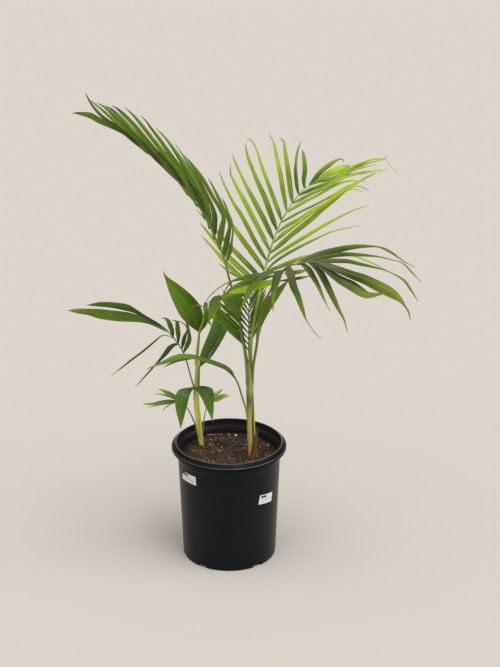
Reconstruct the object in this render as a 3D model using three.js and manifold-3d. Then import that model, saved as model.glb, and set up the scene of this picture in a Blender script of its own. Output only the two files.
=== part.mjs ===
// A young kentia palm in a black nursery pot: two stems in one pot of soil, each with its own fronds.
// Millimetres, +Z up. The origin is the middle of the pot's flat underside, and -Y is the front.
import * as THREE from "three";
import { mergeVertices } from "three/addons/utils/BufferGeometryUtils.js";
import Module from "manifold-3d";

const wasm = await Module();
wasm.setup();

// ---- Driving dimensions -------------------------------------------------------------------
const GAP = 0.35; // clearance between pieces that touch

const POT = {
  height: 234,
  rimRadius: 110, // outside of the rolled rim
  mouthRadius: 100, // inside of the rim's top edge
  rimDepth: 13,
  neckRadius: 98.5, // outside of the wall just under the rim
  footRadius: 90,
  footRound: 1.6,
  wall: 1.8,
  floor: 2.6,
  ledgeDrop: 24, // the stacking ledge inside, below the rim's top
  sides: 50,
};
const DRAIN = { count: 5, halfWidth: 10, height: 6.5, reach: 15, firstAngle: -53 };
const SOIL = { top: 204, relief: 2.4, rings: 6, sides: 26, clods: 26, seed: 7 };
const LABEL = { height: 20, thick: 0.6, columns: 6 };

const STEM_BURIED = 168; // the height in the soil at which both stems end
const STEM_SIDES = 12;
const STALK_SIDES = 6;

// Ring stations along a short leaflet, a long bent one and a broad lobe, as shares of the length.
const LEAFLET_STATIONS = [0, 0.16, 0.42, 0.7, 0.88, 1];
const BENT_STATIONS = [0, 0.12, 0.28, 0.44, 0.6, 0.75, 0.88, 1];
const LOBE_STATIONS = [0, 0.11, 0.25, 0.4, 0.55, 0.7, 0.85, 1];
const BLADE_THICK = 1.3;

// Where each label's middle sits on the wall: degrees round from +X, height, and its tilt.
const LABELS = {
  label_left: { angle: -144.3, middle: 184, tilt: 3, width: 46 },
  label_right: { angle: -42.5, middle: 143, tilt: -9, width: 36 },
};

// The stems as [x, y, z, radius], from the buried end up.
const STEM_LARGE = [
  [46, -5, STEM_BURIED, 7.0],
  [45.5, -5, 204, 8.6],
  [43.5, -4, 236, 8.1],
  [42, -3, 262, 7.5],
  [41, -2, 300, 7.1],
  [40, -1, 340, 7.3],
  [39.5, 0, 366, 7.5],
  [39, 0, 380, 5.8],
];
const STEM_SMALL = [
  [-55, 38, STEM_BURIED, 4.2],
  [-56, 38, 204, 4.8],
  [-59, 38, 236, 5.2],
  [-63, 38, 270, 5.0],
  [-65, 38, 310, 4.6],
  [-64, 38, 345, 4.0],
  [-61.5, 38, 388, 2.8],
];

// The dried sheath that peels off the large stem at the soil: its middle line, and how it wraps.
const DRY_SHEATH = {
  line: [[49, -16.5, 196], [50, -16.5, 212], [51.5, -15.5, 234], [56, -12.5, 264]],
  width: 15,
  face: [0.35, -1, 0.1],
  cup: 0.5,
  lobe: true,
};

// Each frond: its stalk as points, the stalk's radius at both ends, and its blades.
// A row of leaflets springs at even steps from the share "from" to the share "to" of the stalk.
// Each leaflet ends at one of the tips, or goes on through the points of a hook. "bow" lifts its
// middle off the straight line, as a share of its length, at the first and the last leaflet.
// Single blades give the points they pass, and a "lobe" is a broad pleated one.
// "face" is the way the upper surface looks where the blade leaves the stalk.
const FRONDS = {
  frond_upper_left: {
    stalk: [
      [36, 3, 352], [34, 4, 392], [28, 4, 440], [18, 3, 496], [5, 0, 547], [-7, -4, 597],
      [-23, -9, 645], [-46, -14, 697], [-74, -19, 744], [-114, -24, 789], [-159, -28, 825], [-202, -31, 853],
    ],
    radius: [2.6, 1.0],
    rows: [
      {
        from: 0.44, to: 0.93, width: 10.5, face: [0.2, -1, 0.3],
        bow: [[0.13, 0, 0.01], [-0.04, 0, -0.05]],
        tips: [
          [-11, 12, 713], [-34, 14, 748], [-67, 14, 788], [-92, 12, 811], [-127, 10, 843],
          [-152, 7, 867], [-182, 3, 883], [-204, -2, 888], [-228, -8, 894], [-248, -16, 914],
        ],
      },
      {
        from: 0.46, to: 0.97, width: 10.5, face: [0.2, 1, 0.3],
        bow: [[0.1, -0.04, 0.01], [0, -0.04, 0.04]],
        tips: [
          [-28, -38, 699], [-43, -44, 746], [-70, -50, 791], [-101, -55, 823], [-133, -58, 853],
          [-164, -60, 873], [-190, -60, 885], [-214, -58, 890], [-236, -54, 892], [-268, -44, 884],
        ],
      },
    ],
  },
  frond_upper_right: {
    stalk: [
      [41, 6, 352], [41, 7, 386], [43, 9, 428], [48, 12, 473], [57, 17, 523], [65, 23, 562],
      [75, 32, 602], [90, 46, 640], [109, 63, 673], [130, 82, 699], [156, 108, 714], [206, 150, 721],
    ],
    radius: [2.6, 0.9],
    rows: [
      {
        from: 0.36, to: 0.94, width: 12.5, face: [0.6, -0.8, 0.25],
        bow: [[0, 0, 0.06], [-0.04, 0, -0.03]],
        tips: [
          [-19, 40, 580], [-50, 50, 633], [-52, 55, 656], [-26, 60, 714], [-16, 62, 751],
          [5, 66, 764], [9, 72, 779], [32, 80, 797], [[48, 87, 793], [44, 88, 804], [36, 88, 805]],
          [77, 96, 810], [95, 104, 801], [136, 112, 793], [138, 114, 777], [214, 155, 749], [228, 170, 731],
        ],
      },
      {
        from: 0.4, to: 0.99, width: 12, face: [-0.3, -0.8, 0.6],
        bow: [[0, 0, 0.05], [0, 0, 0.04]],
        tips: [
          [150, 45, 551], [283, 50, 570], [244, 60, 647], [259, 70, 681], [297, 88, 746], [256, 100, 718],
          [260, 105, 698], [249, 118, 694], [288, 130, 727], [281, 142, 741], [321, 150, 719], [301, 168, 749],
        ],
      },
    ],
  },
  frond_right: {
    stalk: [
      [44, -3, 352], [46, -4, 388], [52, -8, 429], [58, -14, 467], [64, -22, 504], [73, -34, 542],
      [87, -52, 579], [105, -70, 606], [125, -88, 622], [148, -104, 633], [166, -116, 636],
    ],
    radius: [2.9, 1.1],
    blades: [
      { at: 0.63, through: [[40, -60, 572], [-5, -62, 557]], width: 15, face: [0, -0.7, 0.7] },
      {
        at: 0.66, width: 12, face: [0, 0, 1],
        through: [[27, -66, 591], [5, -72, 584], [-30, -80, 560], [-37, -82, 550]],
      },
      {
        at: 0.69, width: 14, face: [0, 0, 1],
        through: [[40, -76, 590], [12, -84, 574], [-12, -90, 552], [-23, -94, 525]],
      },
      {
        at: 0.71, width: 16, face: [0.2, 0, 1],
        through: [[48, -88, 583], [30, -98, 560], [21, -106, 535]],
      },
      {
        at: 0.74, width: 18, face: [0, 0, 1],
        through: [[90, -92, 590], [82, -106, 562], [80, -114, 541]],
      },
      {
        at: 0.78, width: 20, face: [0.1, 0, 1],
        through: [[112, -102, 586], [128, -124, 540], [167, -142, 499]],
      },
      {
        at: 0.83, width: 13, face: [0.3, 0, 1],
        through: [[142, -118, 600], [163, -130, 575], [182, -137, 548]],
      },
      {
        at: 0.88, width: 16, face: [0.3, 0, 1],
        through: [[166, -126, 604], [188, -142, 561], [213, -152, 515]],
      },
      {
        at: 0.93, width: 20, face: [-0.3, -0.6, 0.8],
        through: [[188, -130, 605], [230, -142, 578], [252, -144, 576], [273, -142, 586]],
      },
      { at: 0.36, through: [[76, -30, 525], [93, -36, 556]], width: 13, face: [-0.3, -1, 0.2] },
      { at: 0.44, through: [[92, -38, 546], [111, -46, 573]], width: 15, face: [-0.3, -1, 0.2] },
      { at: 0.64, through: [[110, -46, 594], [150, -40, 596]], width: 11, face: [-0.1, -0.6, 0.8] },
      {
        at: 0.72, width: 14, face: [0, -0.75, 0.7],
        through: [[160, -62, 648], [230, -72, 665], [290, -82, 650], [325, -90, 621]],
      },
      {
        at: 0.78, width: 13, face: [0, -0.75, 0.7],
        through: [[200, -84, 648], [265, -94, 648], [312, -98, 625], [344, -102, 593]],
      },
      {
        at: 0.86, width: 15, face: [0, -0.75, 0.7],
        through: [[205, -104, 640], [275, -112, 620], [338, -116, 560]],
      },
      {
        at: 0.97, width: 24, face: [0, -0.8, 0.6],
        through: [[210, -122, 622], [268, -132, 594], [308, -138, 560], [323, -140, 534]],
      },
    ],
  },
  frond_middle: {
    stalk: [
      [39, -3.6, 354], [39, -4, 393], [38, -5, 422], [38, -6, 464],
      [38, -9, 503], [42, -12, 534], [49, -18, 563],
    ],
    radius: [1.9, 0.8],
    rows: [
      {
        from: 0.36, to: 0.94, width: 7.5, face: [0.3, -1, 0.3],
        bow: [[0, 0, 0.05], [0, 0, 0.03]],
        tips: [
          [-39, -6, 491], [-43, -8, 508], [-37, -9, 522], [-28, -2, 532],
          [-11, -3, 546], [5, -7, 555], [22, -13, 563],
        ],
      },
      {
        from: 0.38, to: 0.96, width: 7.5, face: [-0.3, -1, 0.3],
        bow: [[0.04, 0, 0], [0, 0, 0.03]],
        tips: [
          [61, -6, 480], [66, -8, 501], [72, -10, 519], [75, -14, 536],
          [79, -17, 551], [77, -20, 567], [69, -24, 583],
        ],
      },
    ],
  },
  leaf_bent_left: {
    stalk: [[41, -6, 276], [36, -11, 291], [26, -14, 329], [17, -17, 359], [9, -20, 380], [1, -24, 393]],
    radius: [2.2, 1.7],
    blades: [
      {
        at: 0.93, lobe: true, width: 22, face: [0, -0.25, 1],
        through: [[-23, -33, 412], [-56, -41, 421], [-92, -49, 426], [-122, -56, 421], [-150, -62, 407]],
      },
      {
        at: 0.93, lobe: true, width: 15, face: [0, 0.1, 1],
        through: [[-23, -23, 408], [-54, -28, 415], [-90, -37, 417], [-120, -46, 406]],
      },
    ],
  },
  leaf_folded: {
    stalk: [[35, -4, 354], [32, -8, 390], [29, -13, 430], [25, -18, 458], [20, -23, 490]],
    radius: [2.1, 1.6],
    blades: [
      {
        at: 0.95, lobe: true, width: 30, face: [0.25, -1, 0.2],
        through: [[10, -35, 522], [-4, -33, 545], [-22, -21, 524], [-30, -16, 480]],
      },
      {
        at: 0.95, lobe: true, width: 24, face: [-0.3, -1, 0.2],
        through: [[24, -36, 526], [28, -36, 545], [28, -27, 552]],
      },
    ],
  },
  leaf_small_top: {
    stalk: [[-62, 38, 376], [-60, 38, 406], [-57, 38, 434], [-55, 38, 450]],
    radius: [1.9, 1.5],
    blades: [
      {
        at: 0.9, lobe: true, width: 38, face: [0.3, -1, 0.1],
        through: [[-71, 40, 472], [-92, 44, 508], [-123, 50, 561]],
      },
      {
        at: 0.9, lobe: true, width: 25, face: [-0.4, -1, 0.1],
        through: [[-44, 42, 464], [-38, 46, 484], [-47, 50, 496]],
      },
    ],
  },
  leaf_small_dark: {
    stalk: [[-60, 39, 318], [-57, 36, 340], [-55, 33, 362], [-52, 29, 386]],
    radius: [1.7, 1.5],
    blades: [
      {
        at: 0.92, lobe: true, width: 33, face: [-0.2, -1, 0.1],
        through: [[-40, 27, 427], [-27, 26, 468], [-27, 29, 512]],
      },
      {
        at: 0.92, lobe: true, width: 24, face: [-0.5, -1, 0.1],
        through: [[-28, 24, 430], [-7, 22, 466], [2, 22, 492]],
      },
    ],
  },
  frond_small_left: {
    stalk: [
      [-66.5, 38.5, 302], [-70, 35, 334], [-75, 31, 360], [-80, 29, 384],
      [-86, 25, 407], [-92, 21, 424], [-101, 16, 441], [-113, 10, 457],
    ],
    radius: [1.6, 1.3],
    blades: [
      {
        at: 0.95, lobe: true, width: 23, face: [0, -0.75, 0.7],
        through: [[-150, 2, 485], [-200, -4, 503], [-250, -8, 507], [-296, -12, 504]],
      },
      {
        at: 0.95, lobe: true, width: 17, face: [0, -0.4, 0.9],
        through: [[-146, 12, 492], [-186, 12, 519], [-225, 8, 522], [-260, 4, 512]],
      },
      {
        at: 0.65, width: 9, face: [0.4, -1, 0.2],
        through: [[-73, 18, 434], [-75, 10, 464], [-76, 6, 488], [-67, 3, 506], [-44, 1, 512]],
      },
      { at: 0.69, through: [[-81, 21, 436], [-75, 24, 454]], width: 9, face: [0.4, -1, 0.2] },
      {
        at: 0.79, width: 11, face: [0.4, -1, 0.2],
        through: [[-92, 20, 448], [-95, 22, 462], [-101, 24, 476]],
      },
      { at: 0.91, through: [[-110, 15, 462], [-117, 18, 480]], width: 10, face: [0.4, -1, 0.2] },
      {
        at: 0.77, width: 14, face: [-0.3, -0.4, 0.9],
        through: [[-113, 8, 422], [-132, -6, 404], [-175, -22, 355]],
      },
      {
        at: 0.89, width: 12, face: [0, 1, 0.6],
        through: [[-128, -2, 444], [-157, -14, 425], [-220, -26, 379]],
      },
    ],
  },
  leaf_small_front: {
    stalk: [[-63, 35.5, 305], [-64.5, 31, 318], [-66, 25, 328], [-66, 17, 337]],
    radius: [1.6, 1.4],
    blades: [
      {
        at: 0.95, lobe: true, width: 29, face: [0, -0.4, 1], turn: [-0.25, -1, 0.2],
        through: [[-77, 2, 343], [-88, -10, 331], [-93, -20, 303], [-91, -26, 269]],
      },
      {
        at: 0.95, lobe: true, width: 27, face: [0, -0.4, 1], turn: [0.25, -1, 0.2],
        through: [[-55, 2, 344], [-44, -10, 334], [-35, -18, 310], [-29, -24, 286]],
      },
    ],
  },
  frond_low_left: {
    stalk: [[-60.5, 40, 228], [-64, 42, 243], [-70, 44, 258], [-78, 47, 277], [-88, 51, 290], [-103, 54, 297]],
    radius: [1.5, 1.0],
    blades: [
      { at: 0.74, through: [[-116, 58, 308], [-138, 61, 316]], width: 11, face: [0.1, -0.7, 0.7] },
      { at: 0.84, through: [[-124, 57, 303], [-144, 58, 307]], width: 6, face: [0, -0.7, 0.7] },
      {
        at: 0.95, width: 11, face: [0, -0.6, 0.8],
        through: [[-122, 53, 297], [-146, 51, 288], [-166, 50, 291]],
      },
      { at: 0.88, through: [[-126, 49, 292], [-150, 47, 286]], width: 6, face: [0, -0.6, 0.8] },
      { at: 0.8, through: [[-112, 46, 290], [-128, 42, 275]], width: 6, face: [0, -0.6, 0.8] },
    ],
  },
  frond_low_right: {
    stalk: [[-51, 42, STEM_BURIED + 16], [-51.5, 42, 216], [-51, 43, 247], [-44, 46, 281], [-31, 50, 297]],
    radius: [1.4, 1.0],
    blades: [
      { at: 0.86, through: [[-27, 56, 306], [-18, 60, 317]], width: 7, face: [0, -0.7, 0.7] },
      { at: 0.92, through: [[-22, 56, 307], [-11, 60, 315]], width: 8, face: [0, -0.7, 0.7] },
      { at: 0.97, through: [[-16, 50, 304], [3, 49, 308]], width: 9, face: [0, -0.7, 0.7] },
      { at: 0.85, through: [[-20, 45, 299], [-4, 43, 304]], width: 6, face: [0, -0.7, 0.7] },
    ],
  },
};

// ---- Colours ------------------------------------------------------------------------------
const finish = (color, roughness) => new THREE.MeshStandardMaterial({ color, roughness, metalness: 0 });
const MATERIALS = {
  pot: finish(0x1d1f20, 0.45),
  soil: finish(0x3a261b, 0.95),
  label: finish(0xe6e2e0, 0.6),
  stem: finish(0x7d9332, 0.5),
  sheath: finish(0x6e3d22, 0.8),
  leafDark: finish(0x35661f, 0.4),
  leafBright: finish(0x7da324, 0.4),
};
const FROND_MATERIAL = { frond_upper_right: MATERIALS.leafBright };

// ---- Shared geometry ----------------------------------------------------------------------
const vec = (p) => new THREE.Vector3(p[0], p[1], p[2]);
const lineThrough = (points) => new THREE.CatmullRomCurve3(points, false, "centripetal");
const mix = (a, b, share) => a + (b - a) * share;

// A repeatable stream of numbers from 0 to 1.
function seeded(seed) {
  let state = seed;
  return () => {
    state = (state * 1664525 + 1013904223) % 4294967296;
    return state / 4294967296;
  };
}

// A closed body through rings of points, each with the same even count. Every four-cornered
// face is split from its odd-numbered point, so a thin blade's two faces are split alike.
function loft(rings) {
  const count = rings[0].length;
  const triangles = [];
  const at = (ring, j) => ring * count + (j % count);
  for (let i = 0; i + 1 < rings.length; i++) {
    for (let j = 0; j < count; j++) {
      const [a, b, c, d] = [at(i, j), at(i, j + 1), at(i + 1, j + 1), at(i + 1, j)];
      triangles.push(...(j % 2 ? [a, b, c, a, c, d] : [b, d, a, b, c, d]));
    }
  }
  const last = rings.length - 1;
  for (let j = 1; j + 1 < count; j++) {
    triangles.push(at(0, 0), at(0, j + 1), at(0, j));
    triangles.push(at(last, 0), at(last, j), at(last, j + 1));
  }
  const geometry = new THREE.BufferGeometry().setFromPoints(rings.flat());
  return geometry.setIndex(triangles);
}

// A three.js geometry as a solid that can be joined and cut.
function toSolid(geometry) {
  const bare = geometry.clone();
  for (const name of Object.keys(bare.attributes)) {
    if (name !== "position") bare.deleteAttribute(name);
  }
  const merged = mergeVertices(bare, 1e-4);
  return new wasm.Manifold(
    new wasm.Mesh({
      numProp: 3,
      vertProperties: new Float32Array(merged.attributes.position.array),
      triVerts: new Uint32Array(merged.index.array),
    }),
  );
}

function toGeometry(solid) {
  const mesh = solid.getMesh();
  const positions = new Float32Array(mesh.numVert * 3);
  for (let i = 0; i < mesh.numVert; i++) {
    positions.set(mesh.vertProperties.subarray(i * mesh.numProp, i * mesh.numProp + 3), i * 3);
  }
  return new THREE.BufferGeometry()
    .setAttribute("position", new THREE.BufferAttribute(positions, 3))
    .setIndex(new THREE.BufferAttribute(new Uint32Array(mesh.triVerts), 1));
}

// Cross directions and surface normals along a line. The normal is carried on without twist,
// or turns from "face" at the root to "turn" at the tip.
function framesAlong(line, shares, face, turn) {
  const normal = vec(face).normalize();
  return shares.map((share) => {
    const tangent = line.getTangent(share);
    if (turn) normal.copy(vec(face).lerp(vec(turn), share));
    normal.addScaledVector(tangent, -normal.dot(tangent)).normalize();
    const across = new THREE.Vector3().crossVectors(tangent, normal);
    return { point: line.getPoint(share), across, normal: normal.clone() };
  });
}

// How wide a blade is along its length, as a share of its greatest width.
function bladeWidth(share, narrow, peak) {
  if (share < peak) return mix(narrow, 1, Math.sin((Math.PI / 2) * (share / peak)));
  return Math.max(0.06, Math.cos((Math.PI / 2) * ((share - peak) / (1 - peak))));
}

// A thin blade along a line: a flat diamond for a leaflet, a pleated strip for a broad lobe.
function blade(points, { width, face, turn, lobe = false, cup = 0.12 }) {
  const line = lineThrough(points);
  const slimStations = points.length > 3 ? BENT_STATIONS : LEAFLET_STATIONS;
  const stations = lobe ? LOBE_STATIONS : slimStations;
  const strips = lobe ? 4 : 2;
  const shape = lobe ? [0.12, 0.42] : [0.34, 0.36];
  const rings = framesAlong(line, stations, face, turn).map(({ point, across, normal }, i) => {
    const half = (width / 2) * bladeWidth(stations[i], ...shape);
    const edgeThick = lobe ? 0.35 : 0;
    const ring = [];
    for (let j = 0; j < 2 * strips; j++) {
      const strip = j <= strips ? j : 2 * strips - j; // back along the underside
      const side = (2 * strip) / strips - 1;
      const edge = Math.abs(side) === 1;
      const face = j <= strips ? 1 : -1;
      const thick = edge ? edgeThick : BLADE_THICK;
      const lift = -cup * half * side * side + (face * thick) / 2;
      ring.push(point.clone().addScaledVector(across, side * half).addScaledVector(normal, lift));
    }
    return ring;
  });
  return loft(rings);
}

// A round stalk along a line, from one radius to another.
function stalk(points, [startRadius, endRadius], grown = 0, steps = points.length + 3) {
  const line = lineThrough(points.map(vec));
  const shares = Array.from({ length: steps + 1 }, (_, i) => i / steps);
  const rings = framesAlong(line, shares, [0.3, -1, 0.2]).map(({ point, across, normal }, i) => {
    const radius = mix(startRadius, endRadius, shares[i]) + grown;
    return ringAround(point, across, normal, radius, STALK_SIDES);
  });
  return loft(rings);
}

function ringAround(centre, across, normal, radius, sides) {
  return Array.from({ length: sides }, (_, j) => {
    const turn = (-2 * Math.PI * j) / sides;
    return centre
      .clone()
      .addScaledVector(across, radius * Math.cos(turn))
      .addScaledVector(normal, radius * Math.sin(turn));
  });
}

// A stem of level rings, from [x, y, z, radius] rows.
function stem(rows, grown = 0) {
  const [x, y] = [new THREE.Vector3(1, 0, 0), new THREE.Vector3(0, 1, 0)];
  return loft(rows.map((row) => ringAround(vec(row), x, y, row[3] + grown, STEM_SIDES).reverse()));
}

// ---- The fronds ---------------------------------------------------------------------------
function leafletsOf(frond) {
  const line = lineThrough(frond.stalk.map(vec));
  const made = [];
  for (const row of frond.rows ?? []) {
    row.tips.forEach((entry, i) => {
      const share = i / (row.tips.length - 1);
      const root = line.getPoint(mix(row.from, row.to, share));
      const [tip, ...hook] = (Array.isArray(entry[0]) ? entry : [entry]).map(vec);
      const length = root.distanceTo(tip);
      const bow = vec(row.bow[0]).lerp(vec(row.bow[1]), share).multiplyScalar(length);
      const middle = root.clone().lerp(tip, 0.5).add(bow);
      made.push(blade([root, middle, tip, ...hook], row));
    });
  }
  for (const single of frond.blades ?? []) {
    made.push(blade([line.getPoint(single.at), ...single.through.map(vec)], single));
  }
  return made;
}

function frondSolid(frond) {
  const pieces = [stalk(frond.stalk, frond.radius), ...leafletsOf(frond)].map(toSolid);
  return pieces.reduce((whole, piece) => whole.add(piece));
}

// What a stem or the soil is cut back by, so that a stalk stands in a plain hole.
const socketFor = (frond) => toSolid(stalk(frond.stalk, frond.radius, GAP));

// ---- The stems and the dried sheath -------------------------------------------------------
function stemSolid(rows, fronds) {
  return fronds.reduce((cut, name) => cut.subtract(socketFor(FRONDS[name])), toSolid(stem(rows)));
}

const drySheath = () => toSolid(blade(DRY_SHEATH.line.map(vec), DRY_SHEATH));

// The pocket in the soil that the foot of the sheath stands in.
function sheathPocket() {
  const [x, y, z] = DRY_SHEATH.line[0];
  const pocket = new THREE.CylinderGeometry(6, 6, 20, 10).rotateX(Math.PI / 2);
  return toSolid(pocket.translate(x, y, z + 9 - GAP));
}

// ---- The pot ------------------------------------------------------------------------------
function potSolid() {
  const p = POT;
  const rimBottom = p.height - p.rimDepth;
  const ledge = p.height - p.ledgeDrop;
  const outline = [
    [0, 0], [p.footRadius - p.footRound, 0], [p.footRadius, p.footRound],
    [p.neckRadius, rimBottom - 1.5], [p.rimRadius - 1, rimBottom], [p.rimRadius, rimBottom + 2],
    [p.rimRadius - 1, p.height - 5], [p.rimRadius - 4, p.height - 1.4], [p.rimRadius - 7, p.height],
    [p.mouthRadius + 0.6, p.height - 0.6], [p.mouthRadius - 0.6, p.height - 3],
    [p.mouthRadius - 1.4, ledge], [p.neckRadius - p.wall - 0.8, ledge - 2],
    [p.footRadius - p.wall, p.floor], [0, p.floor],
  ].map(([r, z]) => new THREE.Vector2(r, z));
  const body = toSolid(new THREE.LatheGeometry(outline, p.sides).rotateX(Math.PI / 2));
  return drainHoles().reduce((cut, hole) => cut.subtract(hole), body);
}

// The wall's outside radius at a height.
const wallRadius = (z) => mix(POT.footRadius, POT.neckRadius, z / (POT.height - POT.rimDepth));

// An arched hole at the foot of the wall that runs in under the floor.
function drainHoles() {
  const d = DRAIN;
  const arch = new THREE.Shape();
  arch.moveTo(-d.halfWidth, -2);
  arch.lineTo(d.halfWidth, -2);
  arch.lineTo(d.halfWidth - 2, d.height - 1.5);
  arch.lineTo(d.halfWidth - 4, d.height);
  arch.lineTo(4 - d.halfWidth, d.height);
  arch.lineTo(2 - d.halfWidth, d.height - 1.5);
  const depth = d.reach + 6;
  return Array.from({ length: d.count }, (_, i) => {
    const angle = THREE.MathUtils.degToRad(d.firstAngle + (360 * i) / d.count);
    const hole = new THREE.ExtrudeGeometry(arch, { depth, bevelEnabled: false });
    hole.rotateX(Math.PI / 2); // the arch stands up, and runs along -Y
    hole.translate(0, POT.footRadius + 6, 0);
    hole.rotateZ(angle - Math.PI / 2);
    return toSolid(hole);
  });
}

// ---- The soil -----------------------------------------------------------------------------
function soilHeights() {
  const random = seeded(SOIL.seed);
  const edge = POT.neckRadius - POT.wall;
  const clods = Array.from({ length: SOIL.clods }, () => {
    const angle = 2 * Math.PI * random();
    const radius = edge * Math.sqrt(random());
    const [size, lift] = [mix(7, 18, random()), mix(-1, 1, random())];
    return { x: radius * Math.cos(angle), y: radius * Math.sin(angle), size, lift };
  });
  return (x, y) =>
    clods.reduce((sum, c) => {
      const apart = ((x - c.x) ** 2 + (y - c.y) ** 2) / c.size ** 2;
      return sum + c.lift * SOIL.relief * Math.exp(-apart);
    }, SOIL.top);
}

function soilSolid() {
  const heightAt = soilHeights();
  const edgeAt = (z) => wallRadius(z) - POT.wall - 1.2;
  const bottom = POT.floor + GAP;
  const ring = (radius, z) =>
    Array.from({ length: SOIL.sides }, (_, j) => {
      const turn = (2 * Math.PI * j) / SOIL.sides;
      return new THREE.Vector3(radius * Math.cos(turn), radius * Math.sin(turn), z);
    });
  const shoulder = SOIL.top - 12;
  const rings = [ring(1, bottom), ring(edgeAt(bottom) - 2, bottom), ring(edgeAt(shoulder) - 1, shoulder)];
  for (let i = 0; i <= SOIL.rings; i++) {
    const radius = mix(edgeAt(SOIL.top) - 1, 1, i / SOIL.rings);
    const top = ring(radius, 0);
    top.forEach((p) => (p.z = heightAt(p.x, p.y)));
    rings.push(top);
  }
  let soil = toSolid(loft(rings));
  for (const cut of [stem(STEM_LARGE, GAP), stem(STEM_SMALL, GAP)]) soil = soil.subtract(toSolid(cut));
  return soil.subtract(socketFor(FRONDS.frond_low_right)).subtract(sheathPocket());
}

// ---- The labels ---------------------------------------------------------------------------
// A blank label that lies round the wall, a hair's breadth off it.
function label({ angle, middle, tilt, width }) {
  const slope = THREE.MathUtils.degToRad(tilt);
  const rings = [];
  for (let i = 0; i <= LABEL.columns; i++) {
    const along = width * (i / LABEL.columns - 0.5);
    const corner = (rise, lift) => {
      const z = middle + rise * Math.cos(slope) + along * Math.sin(slope);
      const radius = wallRadius(z) + GAP + lift;
      const arc = (along * Math.cos(slope) - rise * Math.sin(slope)) / radius;
      const turn = THREE.MathUtils.degToRad(angle) + arc;
      return new THREE.Vector3(radius * Math.cos(turn), radius * Math.sin(turn), z);
    };
    const rise = LABEL.height / 2;
    rings.push([corner(-rise, 0), corner(rise, 0), corner(rise, LABEL.thick), corner(-rise, LABEL.thick)]);
  }
  return loft(rings);
}

// ---- The object ---------------------------------------------------------------------------
const LARGE_STEM_FRONDS = [
  "frond_upper_left", "frond_upper_right", "frond_right", "frond_middle", "leaf_bent_left", "leaf_folded",
];
const SMALL_STEM_FRONDS = [
  "leaf_small_top", "leaf_small_dark", "frond_small_left", "leaf_small_front", "frond_low_left",
];

const palm = new THREE.Group();
function place(name, geometry, material) {
  const mesh = new THREE.Mesh(geometry, material);
  mesh.name = name;
  palm.add(mesh);
}

place("pot", toGeometry(potSolid()), MATERIALS.pot);
place("soil", toGeometry(soilSolid()), MATERIALS.soil);
place("stem_large", toGeometry(stemSolid(STEM_LARGE, LARGE_STEM_FRONDS)), MATERIALS.stem);
place("stem_small", toGeometry(stemSolid(STEM_SMALL, SMALL_STEM_FRONDS)), MATERIALS.stem);
place("dry_sheath", toGeometry(drySheath()), MATERIALS.sheath);
for (const [name, where] of Object.entries(LABELS)) place(name, label(where), MATERIALS.label);
for (const [name, frond] of Object.entries(FRONDS)) {
  place(name, toGeometry(frondSolid(frond)), FROND_MATERIAL[name] ?? MATERIALS.leafDark);
}

export default palm;
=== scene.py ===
"""A young kentia palm in a black nursery pot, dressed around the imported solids.

Metres, +Z up, -Y to the front. The shapes below are in millimetres and are scaled when a mesh is made.
"""

import math
import random

import bmesh
import bpy
import numpy as np
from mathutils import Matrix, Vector, noise


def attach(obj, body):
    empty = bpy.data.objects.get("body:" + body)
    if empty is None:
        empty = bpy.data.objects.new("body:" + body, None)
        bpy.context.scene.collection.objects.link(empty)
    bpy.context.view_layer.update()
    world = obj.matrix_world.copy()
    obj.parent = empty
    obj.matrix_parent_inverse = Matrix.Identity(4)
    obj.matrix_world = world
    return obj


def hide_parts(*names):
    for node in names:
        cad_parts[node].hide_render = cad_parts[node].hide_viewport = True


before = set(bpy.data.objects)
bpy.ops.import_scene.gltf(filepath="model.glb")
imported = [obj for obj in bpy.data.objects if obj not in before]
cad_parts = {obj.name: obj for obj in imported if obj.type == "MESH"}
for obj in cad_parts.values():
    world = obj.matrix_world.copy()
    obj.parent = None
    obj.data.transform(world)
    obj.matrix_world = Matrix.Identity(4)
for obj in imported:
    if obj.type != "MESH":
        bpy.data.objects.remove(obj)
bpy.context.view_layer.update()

MM = 0.001
rng = random.Random(11)

# ---- The photograph's view ----------------------------------------------------------------
CAMERA_PLACE = (0.0402, -2.766, 1.562)
CAMERA_PITCH = math.radians(21.82)  # down from level
FOCAL_PIXELS = 1600.0
FRAME_HEIGHT = 667.0
SENSOR = 36.0
FLOOR_REACH = 40.0  # metres from the pot, so that the floor fills every view

# ---- The pot and what lies in it, in millimetres ------------------------------------------
POT_FOOT, POT_NECK, POT_RIM, POT_MOUTH = 90.0, 98.5, 110.0, 100.0
RIM_BOTTOM, POT_FLOOR, POT_WALL = 221.0, 2.6, 1.8
POT_SIDES = 200
DRAIN_COUNT, DRAIN_FIRST = 5, -53.0
SOIL_TOP, SOIL_SLOPE = 205.0, 0.045
SOIL_SIDES, SOIL_RINGS = 144, 54

# ---- The stems: x, y, z, radius in millimetres --------------------------------------------
STEM_LARGE = [
    (46, -5, 168, 7.0), (45.5, -5, 204, 8.6), (43.5, -4, 236, 8.1), (42, -3, 262, 7.5),
    (41, -2, 300, 7.1), (40, -1, 340, 7.0), (39.5, 0, 366, 6.6), (39, 0, 382, 5.6),
    (38.6, 0.6, 394, 3.4), (38.4, 1, 402, 1.2),
]
STEM_SMALL = [
    (-53.4, 38, 169, 2.8), (-55.2, 38, 204, 3.1), (-56.7, 38, 223, 4.2), (-58.4, 38, 247, 5.3),
    (-60.4, 38, 270, 5.4), (-62, 38, 293, 5.5), (-62.4, 38, 312, 4.9), (-61.8, 38, 340, 3.8),
    (-60.8, 38, 364, 3.3), (-59.3, 38, 389, 3),
]
STEM_STATIONS, STEM_SIDES = 90, 56

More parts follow.
